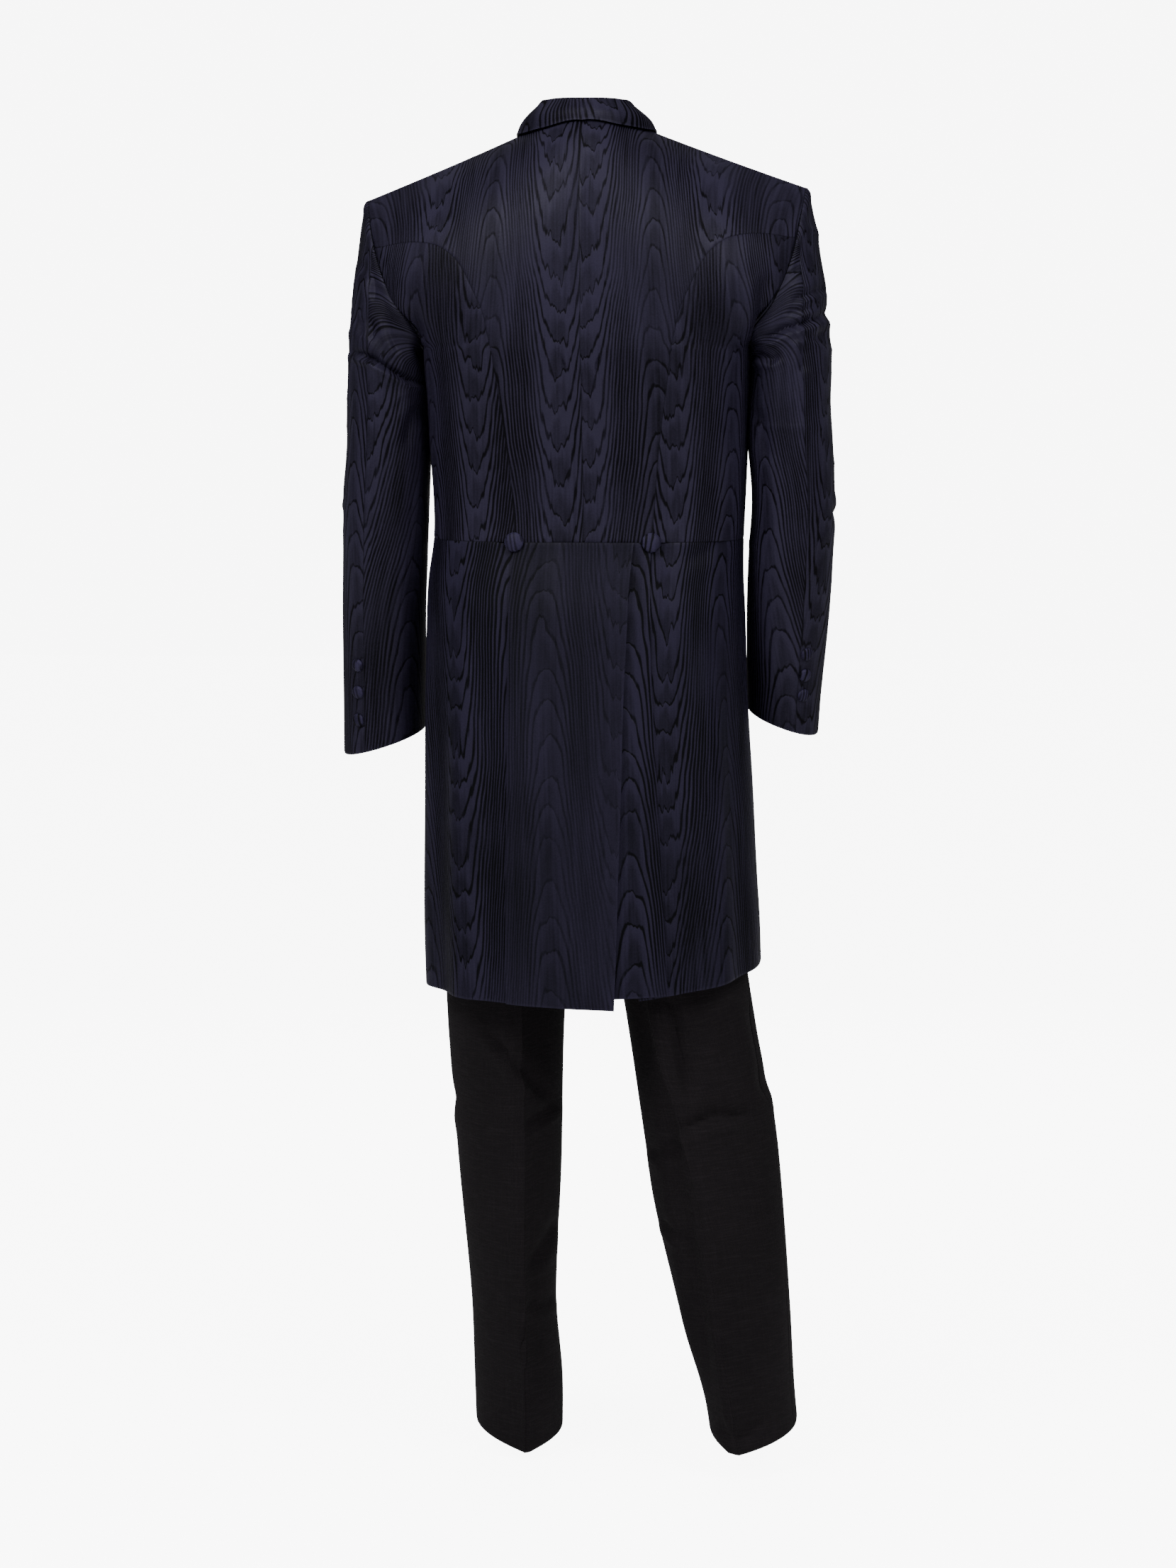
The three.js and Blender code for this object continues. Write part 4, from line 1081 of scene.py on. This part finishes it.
SLEEVE_FOLDS = {
    "left": [
        ("back", 4, 9, [(276, 1298), (263, 1297), (239, 1289), (220, 1278), (197, 1265), (172, 1258)]),
        ("back", 6, 6, [(190, 1312), (182, 1286), (178, 1254)]),
        ("back", 8.6, 8.1, [(207, 1366), (190, 1337), (176, 1308)]),
        ("back", 5.8, 4.1, [(240, 1392), (239, 1352)]),
        ("back", 5, 4.1, [(243, 1336), (241, 1308)]),
        ("back", 5, 4.1, [(257, 1338), (255, 1312)]),
        ("back", 7.9, 5.4, [(182, 1244), (196, 1218), (203, 1186)]),
        ("back", 5, 3.4, [(224, 1342), (219, 1318), (206, 1292)]),
        ("back", 7.2, 3.4, [(258, 1402), (244, 1372)]),
        ("front", 6.5, 5.4, [(262, 1322), (236, 1300), (208, 1284)]),
        ("front", 8.6, 6.8, [(214, 1372), (200, 1334), (190, 1306)]),
        ("front", 7.9, 4.1, [(256, 1110), (230, 1092), (206, 1086)]),
        ("left", 6.5, 4.1, [(34, 1330), (6, 1322), (-28, 1330)]),
        ("left", 7.2, 3.4, [(-52, 1120), (-20, 1106), (14, 1112)]),
    ],
    "right": [
        ("back", 4.3, 4.1, [(-231, 1352), (-239, 1357), (-256, 1364), (-278, 1371)]),
        ("back", 5, 3.4, [(-225, 1344), (-232, 1341), (-247, 1345), (-262, 1350)]),
        ("back", 5, 7.4, [
            (-184, 1309), (-213, 1316), (-225, 1324), (-240, 1328), (-259, 1335), (-280, 1341),
        ]),
        ("back", 5, 5.4, [(-182, 1296), (-210, 1289), (-224, 1297)]),
        ("back", 7.2, 3.4, [(-249, 1312), (-247, 1272)]),
        ("back", 5.8, 3.4, [(-272, 1322), (-258, 1308)]),
        ("back", 8.6, 4.1, [(-190, 1240), (-200, 1210), (-204, 1170)]),
        ("front", 6.5, 6.1, [(-264, 1330), (-238, 1306), (-206, 1296)]),
        ("front", 8.6, 6.8, [(-216, 1368), (-202, 1332), (-192, 1304)]),
        ("front", 7.9, 4.1, [(-258, 1116), (-230, 1096), (-206, 1092)]),
        ("right", 6.5, 4.1, [(36, 1346), (4, 1338), (-30, 1344)]),
        ("right", 7.2, 3.4, [(-50, 1128), (-18, 1112), (16, 1120)]),
    ],
}
TROUSER_FOLDS = {
    "left": [
        ("back", 7, 7, [(112, 530), (96, 508), (78, 484), (58, 454), (36, 424)]),
        ("back", 8, 5, [(80, 412), (58, 418), (30, 432)]),
        ("back", 9, 5, [(74, 228), (58, 254), (30, 292)]),
        ("back", 8, 4, [(80, 196), (56, 188), (30, 182)]),
        ("front", 14, 4, [(60, 452), (92, 440), (124, 452)]),
        ("front", 12, 4.5, [(50, 168), (88, 150), (126, 164)]),
        ("left", 14, 3, [(-10, 440), (-50, 426), (-90, 440)]),
    ],
    "right": [
        ("back", 8, 9, [(-94, 590), (-104, 540), (-115, 492), (-128, 440)]),
        ("back", 8, 8, [(-100, 418), (-126, 422), (-152, 432), (-178, 430), (-206, 418)]),
        ("back", 9, 7, [(-66, 372), (-92, 386), (-118, 400)]),
        ("back", 7, 5, [(-80, 300), (-106, 290), (-130, 280)]),
        ("back", 11, 7, [(-96, 520), (-107, 400), (-122, 290), (-149, 60)]),
        ("back", 9, 5, [(-186, 560), (-200, 500), (-212, 430)]),
        ("back", 9, 5, [(-150, 70), (-176, 52), (-212, 70)]),
        ("front", 14, 4, [(-112, 458), (-146, 444), (-184, 456)]),
        ("front", 12, 4.5, [(-160, 190), (-190, 172), (-224, 184)]),
        ("right", 14, 3, [(40, 470), (0, 452), (-44, 462)]),
    ],
}


# Materials

def linear(hex_colour):
    """A colour written as sRGB hex, as the linear values that shaders work in."""
    channels = [int(hex_colour[k:k + 2], 16) / 255 for k in (1, 3, 5)]
    return (*[c / 12.92 if c <= 0.04045 else ((c + 0.055) / 1.055) ** 2.4 for c in channels], 1)


def add_node(tree, kind, inputs=None, **settings):
    """Adds one node; an input is given as a value or as the output that links to it."""
    item = tree.nodes.new(kind)
    for name, value in settings.items():
        setattr(item, name, value)
    for key, value in (inputs or {}).items():
        if isinstance(value, bpy.types.NodeSocket):
            tree.links.new(value, item.inputs[key])
        else:
            item.inputs[key].default_value = value
    return item


def new_material(name):
    material = bpy.data.materials.new(name)
    material.use_nodes = True
    material.node_tree.nodes.clear()
    return material, material.node_tree


def cloth_places(tree):
    """The cloth coordinates across and up, and the distances to the nearest sewn and finished edge."""
    cloth = add_node(tree, "ShaderNodeUVMap", uv_map="cloth").outputs[0]
    trim = add_node(tree, "ShaderNodeUVMap", uv_map="trim").outputs[0]
    cloth = add_node(tree, "ShaderNodeSeparateXYZ", {0: cloth})
    trim = add_node(tree, "ShaderNodeSeparateXYZ", {0: trim})
    return cloth.outputs[0], cloth.outputs[1], trim.outputs[0], trim.outputs[1]


def patches(tree, x, y, width, height, seed, detail=1.0):
    """Soft patches scattered over the cloth, from about -0.5 to 0.5, of the given width and height."""
    across = add_node(tree, "ShaderNodeMath", {0: x, 1: 1 / width}, operation="MULTIPLY").outputs[0]
    up = add_node(tree, "ShaderNodeMath", {0: y, 1: 1 / height}, operation="MULTIPLY").outputs[0]
    place = add_node(tree, "ShaderNodeCombineXYZ", {0: across, 1: up, 2: seed}).outputs[0]
    noise = add_node(tree, "ShaderNodeTexNoise", {"Vector": place, "Scale": 1.0, "Detail": detail}).outputs[0]
    return add_node(tree, "ShaderNodeMath", {0: noise, 1: 0.5}, operation="SUBTRACT").outputs[0]


def layered(tree, tone, layers):
    """A tone with shares of several patches added to it."""
    for layer, share in layers:
        tone = add_node(
            tree, "ShaderNodeMath", {0: layer, 1: share, 2: tone}, operation="MULTIPLY_ADD").outputs[0]
    return tone


def worn_colour_with_seam_shade(tree, tone, sewn, finished, wear, dark, light, painted_seam_shade):
    """The tone and the colour of cloth that is paler along its worn finished edges, with painted shade that
    darkens it in its seams. Wear is how far from the edge it starts to fade and where it ends, and how strong
    it is at the edge."""
    near, far, strength = wear
    worn = add_node(tree, "ShaderNodeMapRange", {
        "Value": finished, "From Min": near, "From Max": far, "To Min": strength, "To Max": 0,
    }).outputs["Result"]
    tone = add_node(tree, "ShaderNodeMath", {0: tone, 1: worn}, operation="ADD", use_clamp=True).outputs[0]
    base = add_node(tree, "ShaderNodeMix", {
        0: tone, 6: linear(dark), 7: linear(light),
    }, data_type="RGBA").outputs[2]
    # Painted shade: within about a millimetre of a sewn edge the colour is pulled halfway to the seam colour,
    # as if the seam's groove were shadowed.
    seam = add_node(tree, "ShaderNodeMapRange", {
        "Value": sewn, "From Min": 0.2, "From Max": 1.0, "To Min": 0.5, "To Max": 1,
    }).outputs["Result"]
    base = add_node(
        tree, "ShaderNodeMix", {0: seam, 6: linear(painted_seam_shade), 7: base}, data_type="RGBA").outputs[2]
    return tone, base


# The water figure: half the width and the rise of an arch, the distance between its lines, and their sizes
FIGURE_HALF = 78
FIGURE_RISE = 520
LINE_SPACING = 40
STEEPEST = 1.875 * FIGURE_RISE / FIGURE_HALF
LINE_WIDTH = 1.0
FADE_LENGTH = 15
FIGURE_WANDER = 60
LINE_DRIFT = 70
MEAN_TONE = 0.56
TOOTH_WIDTH = 4.6
TOOTH_HEIGHT = 34
STREAK_WIDTH = 3.2
RIB_SPACING = 1.9


def water_lines(tree, x, y):
    """The water figure, from dark 0 to pale 1: each jagged dark line has a pale band under it that fades
    downwards. The lines rise from a point to an arch, and stand close together between them."""
    wander = patches(tree, x, y, 190, 380, 3.7)
    column = add_node(
        tree, "ShaderNodeMath", {0: wander, 1: FIGURE_WANDER, 2: x}, operation="MULTIPLY_ADD").outputs[0]
    folded = add_node(tree, "ShaderNodeMath", {0: column, 1: FIGURE_HALF}, operation="PINGPONG").outputs[0]
    share = add_node(tree, "ShaderNodeMath", {0: folded, 1: FIGURE_HALF}, operation="DIVIDE").outputs[0]
    rise = add_node(tree, "ShaderNodeMapRange", {
        "Value": share, "To Min": 0, "To Max": -FIGURE_RISE,
    }, interpolation_type="SMOOTHERSTEP").outputs["Result"]
    height = add_node(tree, "ShaderNodeMath", {0: y, 1: rise}, operation="ADD").outputs[0]
    ragged = add_node(tree, "ShaderNodeMapRange", {
        "Value": share, "From Max": 0.8, "To Min": TOOTH_HEIGHT, "To Max": 0.3 * TOOTH_HEIGHT,
    }, interpolation_type="SMOOTHSTEP").outputs["Result"]
    teeth = patches(tree, x, y, TOOTH_WIDTH, 55, 1.3)
    height = add_node(
        tree, "ShaderNodeMath", {0: teeth, 1: ragged, 2: height}, operation="MULTIPLY_ADD").outputs[0]
    drift = patches(tree, x, y, 48, 90, 8.1, 2.0)
    height = add_node(
        tree, "ShaderNodeMath", {0: drift, 1: LINE_DRIFT, 2: height}, operation="MULTIPLY_ADD").outputs[0]
    phase = add_node(tree, "ShaderNodeMath", {0: height, 1: LINE_SPACING}, operation="DIVIDE").outputs[0]
    phase = add_node(tree, "ShaderNodeMath", {0: phase}, operation="FRACT").outputs[0]

    # A line keeps its width where it climbs, so distances up the cloth are divided by how steeply it climbs.
    rest = add_node(tree, "ShaderNodeMath", {0: 1, 1: share}, operation="SUBTRACT").outputs[0]
    steep = add_node(tree, "ShaderNodeMath", {0: share, 1: rest}, operation="MULTIPLY").outputs[0]
    for operation, value in (("MULTIPLY", 4), ("POWER", 2)):
        steep = add_node(tree, "ShaderNodeMath", {0: steep, 1: value}, operation=operation).outputs[0]
    steep = add_node(
        tree, "ShaderNodeMath", {0: steep, 1: STEEPEST, 2: 1.2}, operation="MULTIPLY_ADD").outputs[0]
    apart = add_node(tree, "ShaderNodeMath", {0: LINE_SPACING, 1: steep}, operation="DIVIDE").outputs[0]
    nearest = add_node(tree, "ShaderNodeMath", {0: phase, 1: 0.5}, operation="PINGPONG").outputs[0]
    beside = add_node(tree, "ShaderNodeMath", {0: nearest, 1: apart}, operation="MULTIPLY").outputs[0]
    line = add_node(tree, "ShaderNodeMapRange", {
        "Value": beside, "From Min": 0.35 * LINE_WIDTH, "From Max": 1.6 * LINE_WIDTH,
    }, interpolation_type="SMOOTHSTEP").outputs["Result"]
    below = add_node(tree, "ShaderNodeMath", {0: 1, 1: phase}, operation="SUBTRACT").outputs[0]
    below = add_node(tree, "ShaderNodeMath", {0: below, 1: apart}, operation="MULTIPLY").outputs[0]
    band = add_node(tree, "ShaderNodeMapRange", {
        "Value": below, "From Max": FADE_LENGTH, "To Min": 1, "To Max": 0.5,
    }, interpolation_type="SMOOTHSTEP").outputs["Result"]
    return add_node(tree, "ShaderNodeMath", {0: band, 1: line}, operation="MULTIPLY").outputs[0]


def watered_silk(name, dark, light, figure=1.0):
    """Silk faille, rib woven and pressed under heavy rollers: nested water lines and fine upright streaks,
    satin to the eye, with painted sheen in broad soft patches, a little wear along its finished edges and
    painted shade in its seams."""
    material, tree = new_material(name)
    x, y, sewn, finished = cloth_places(tree)
    lines = water_lines(tree, x, y)
    contrast = patches(tree, x, y, 105, 150, 5.5)
    strength = add_node(tree, "ShaderNodeMapRange", {
        "Value": contrast, "From Min": -0.2, "From Max": 0.12, "To Min": 0.4 * figure, "To Max": 1.1 * figure,
    }, interpolation_type="SMOOTHSTEP").outputs["Result"]
    figured = add_node(tree, "ShaderNodeMath", {0: lines, 1: MEAN_TONE}, operation="SUBTRACT").outputs[0]
    figured = layered(tree, MEAN_TONE, [(figured, strength)])
    streaks = patches(tree, x, y, STREAK_WIDTH, 130, 6.1)
    grain = patches(tree, x, y, 1.4, 2.2, 2.2)
    # Painted sheen: broad soft patches, paler and smoother, stand in for the light caught on crumpled silk.
    sheen_patches = patches(tree, x, y, 62, 170, 9.4, 2.0)
    tone = layered(tree, figured, [(streaks, 0.8), (grain, 0.35), (sheen_patches, 1.1)])
    # The last colour is the painted shade in the seams.
    tone, base = worn_colour_with_seam_shade(tree, tone, sewn, finished, (0.4, 3.2, 0.3), dark, light, "#050509")

    # The ribs across the cloth are about 0.4 mm apart; they are drawn wider apart, or they wouldn't show.
    rib = add_node(
        tree, "ShaderNodeMath", {0: y, 1: 2 * math.pi / RIB_SPACING}, operation="MULTIPLY").outputs[0]
    rib = add_node(tree, "ShaderNodeMath", {0: rib}, operation="SINE").outputs[0]
    relief = layered(tree, figured, [(rib, 0.06), (grain, 0.2)])
    bump = add_node(
        tree, "ShaderNodeBump", {"Strength": 0.5, "Distance": 0.0005, "Height": relief}).outputs[0]
    rough = add_node(
        tree, "ShaderNodeMapRange", {"Value": tone, "To Min": 0.6, "To Max": 0.44}).outputs["Result"]
    shader = add_node(tree, "ShaderNodeBsdfPrincipled", {
        "Base Color": base, "Roughness": rough, "Normal": bump, "IOR": 1.3, "Specular IOR Level": 0.16,
        "Sheen Weight": 0.01, "Sheen Roughness": 0.4, "Sheen Tint": linear("#8a88b0"),
    })
    add_node(tree, "ShaderNodeOutputMaterial", {0: shader.outputs[0]})
    return material


def slubbed_wool():
    """Black wool suiting, plain woven and pressed: matt, with faint slubs along both sets of threads."""
    material, tree = new_material("black_slubbed_wool")
    x, y, sewn, finished = cloth_places(tree)
    slubs = []
    for width, height, seed in ((22, 1.1, 4.4), (1.1, 40, 6.6)):
        threads = patches(tree, x, y, width, height, seed, 2.0)
        slubs.append(add_node(tree, "ShaderNodeMapRange", {
            "Value": threads, "From Min": -0.08, "From Max": 0.28,
        }, interpolation_type="SMOOTHSTEP").outputs["Result"])
    slub = layered(tree, slubs[0], [(slubs[1], 0.5)])
    nap = patches(tree, x, y, 1.1, 1.1, 1.1, 2.0)
    broad = patches(tree, x, y, 120, 260, 7.2, 2.0)
    tone = layered(tree, 0.3, [(slub, 0.28), (nap, 0.5), (broad, 0.5)])
    # The last colour is the painted shade in the seams.
    tone, base = worn_colour_with_seam_shade(
        tree, tone, sewn, finished, (0.5, 3.0, 0.25), "#0b090b", "#211d20", "#040304")
    relief = layered(tree, slub, [(nap, 0.8)])
    bump = add_node(
        tree, "ShaderNodeBump", {"Strength": 0.35, "Distance": 0.0004, "Height": relief}).outputs[0]
    rough = add_node(
        tree, "ShaderNodeMapRange", {"Value": tone, "To Min": 0.95, "To Max": 0.8}).outputs["Result"]
    shader = add_node(tree, "ShaderNodeBsdfPrincipled", {
        "Base Color": base, "Roughness": rough, "Normal": bump, "IOR": 1.45, "Specular IOR Level": 0.12,
        "Sheen Weight": 0.01, "Sheen Roughness": 0.6, "Sheen Tint": linear("#6a6468"),
    })
    add_node(tree, "ShaderNodeOutputMaterial", {0: shader.outputs[0]})
    return material


def pale_paper():
    """Matt white studio paper with a faint mottle, lit apart from the suit so that it looks white."""
    material, tree = new_material("pale_studio_paper")
    place = add_node(tree, "ShaderNodeTexCoord").outputs["Object"]
    mottle = add_node(tree, "ShaderNodeTexNoise", {"Vector": place, "Scale": 2.0}).outputs[0]
    base = add_node(tree, "ShaderNodeMix", {
        0: mottle, 6: linear("#f2f2f2"), 7: linear("#f7f7f7"),
    }, data_type="RGBA").outputs[2]
    seen = add_node(tree, "ShaderNodeLightPath").outputs["Is Camera Ray"]
    lit = add_node(tree, "ShaderNodeMath", {0: seen, 1: PAPER_LIGHT}, operation="MULTIPLY").outputs[0]
    shader = add_node(tree, "ShaderNodeBsdfPrincipled", {
        "Base Color": base, "Roughness": 0.9, "Emission Color": WHITE, "Emission Strength": lit,
    })
    add_node(tree, "ShaderNodeOutputMaterial", {0: shader.outputs[0]})
    return material


# The studio: pale floor, soft lights and the camera. Its sizes are in metres and its lights in watts.

WHITE = (1, 1, 1, 1)
FLOOR_HALF = 12.0
WORLD_STRENGTH = 0.18
PAPER_LIGHT = 8.0
LIGHT_AIM = (0, 0, -0.55)
LIGHTS = [
    ("key_softbox", (1.9, 2.7, 1.9), 1.4, 115),
    ("fill_softbox", (-2.1, 2.7, 1.6), 1.4, 95),
    ("top_softbox", (0.1, 1.1, 2.4), 1.2, 30),
    ("front_softbox", (0.1, -3.4, 0.2), 0.8, 45),
]


def studio():
    floor = bpy.data.meshes.new("floor")
    corners = [
        (x * FLOOR_HALF, y * FLOOR_HALF, -HOLD_HEIGHT * MM) for x, y in ((-1, -1), (1, -1), (1, 1), (-1, 1))
    ]
    floor.from_pydata(corners, [], [(0, 1, 2, 3)])
    floor.materials.append(pale_paper())
    ground = bpy.data.objects.new("floor", floor)
    bpy.context.scene.collection.objects.link(ground)

    world = bpy.data.worlds.new("studio")
    bpy.context.scene.world = world
    world.use_nodes = True
    tree = world.node_tree
    tree.nodes.clear()
    seen = add_node(tree, "ShaderNodeLightPath").outputs["Is Camera Ray"]
    strength = add_node(
        tree, "ShaderNodeMapRange", {"Value": seen, "To Min": WORLD_STRENGTH, "To Max": PAPER_LIGHT})
    sky = add_node(tree, "ShaderNodeBackground", {0: WHITE, 1: strength.outputs["Result"]})
    add_node(tree, "ShaderNodeOutputWorld", {0: sky.outputs[0]})
    for name, place, size, watts in LIGHTS:
        lamp = bpy.data.lights.new(name, "AREA")
        lamp.shape = "SQUARE"
        lamp.size = size
        lamp.energy = watts
        light = bpy.data.objects.new(name, lamp)
        light.location = place
        light.rotation_euler = look_along(np.array(LIGHT_AIM) - np.array(place))
        bpy.context.scene.collection.objects.link(light)


def look_along(direction):
    return Vector(direction).to_track_quat("-Z", "Y").to_euler()


# The camera: its distance is in metres, and its height in millimetres above the wearer's floor.
CAMERA_DISTANCE = 5.5
CAMERA_HEIGHT = 1380.5
CAMERA_TURN = math.radians(4)
CAMERA_TILT = math.radians(6.005)
FOCAL_PIXELS = 6790
PHOTO_HEIGHT = 2212
SENSOR = 36


def camera():
    lens = bpy.data.cameras.new("camera")
    lens.sensor_width = SENSOR
    lens.sensor_fit = "AUTO"
    lens.lens = FOCAL_PIXELS / PHOTO_HEIGHT * SENSOR
    eye = bpy.data.objects.new("camera", lens)
    across = math.sin(CAMERA_TURN)
    back = math.cos(CAMERA_TURN)
    height = (CAMERA_HEIGHT - HOLD_HEIGHT) * MM
    eye.location = (-CAMERA_DISTANCE * across, CAMERA_DISTANCE * back, height)
    level = math.cos(CAMERA_TILT)
    eye.rotation_euler = look_along((across * level, -back * level, -math.sin(CAMERA_TILT)))
    bpy.context.scene.collection.objects.link(eye)
    bpy.context.scene.camera = eye


camera()
studio()
silk = watered_silk("navy_watered_silk", "#030206", "#272434")
# Painted shade: the skirts' silk is a darker copy of the coat's silk, standing in for the skirts lying in less
# light.
painted_shade_skirt_silk = watered_silk("navy_painted_shade_skirt_silk", "#020205", "#221f2f", 1.1)
flap_silk = watered_silk("navy_flap_silk", "#06060b", "#211e2d", 0.5)
vest_silk = watered_silk("navy_waistcoat_silk", "#040308", "#272336", 0.8)
cover_silk = watered_silk("navy_button_silk", "#07060c", "#2d293f")
wool = slubbed_wool()
for word in SIDES:
    coat_body(word, silk)
    sleeves(word, silk)
    lapels(word, silk)
    waistcoat(word, vest_silk)
    trousers(word, wool)
coat_skirts(painted_shade_skirt_silk, flap_silk)
collar(silk)
buttons(cover_silk)

bpy.context.view_layer.update()
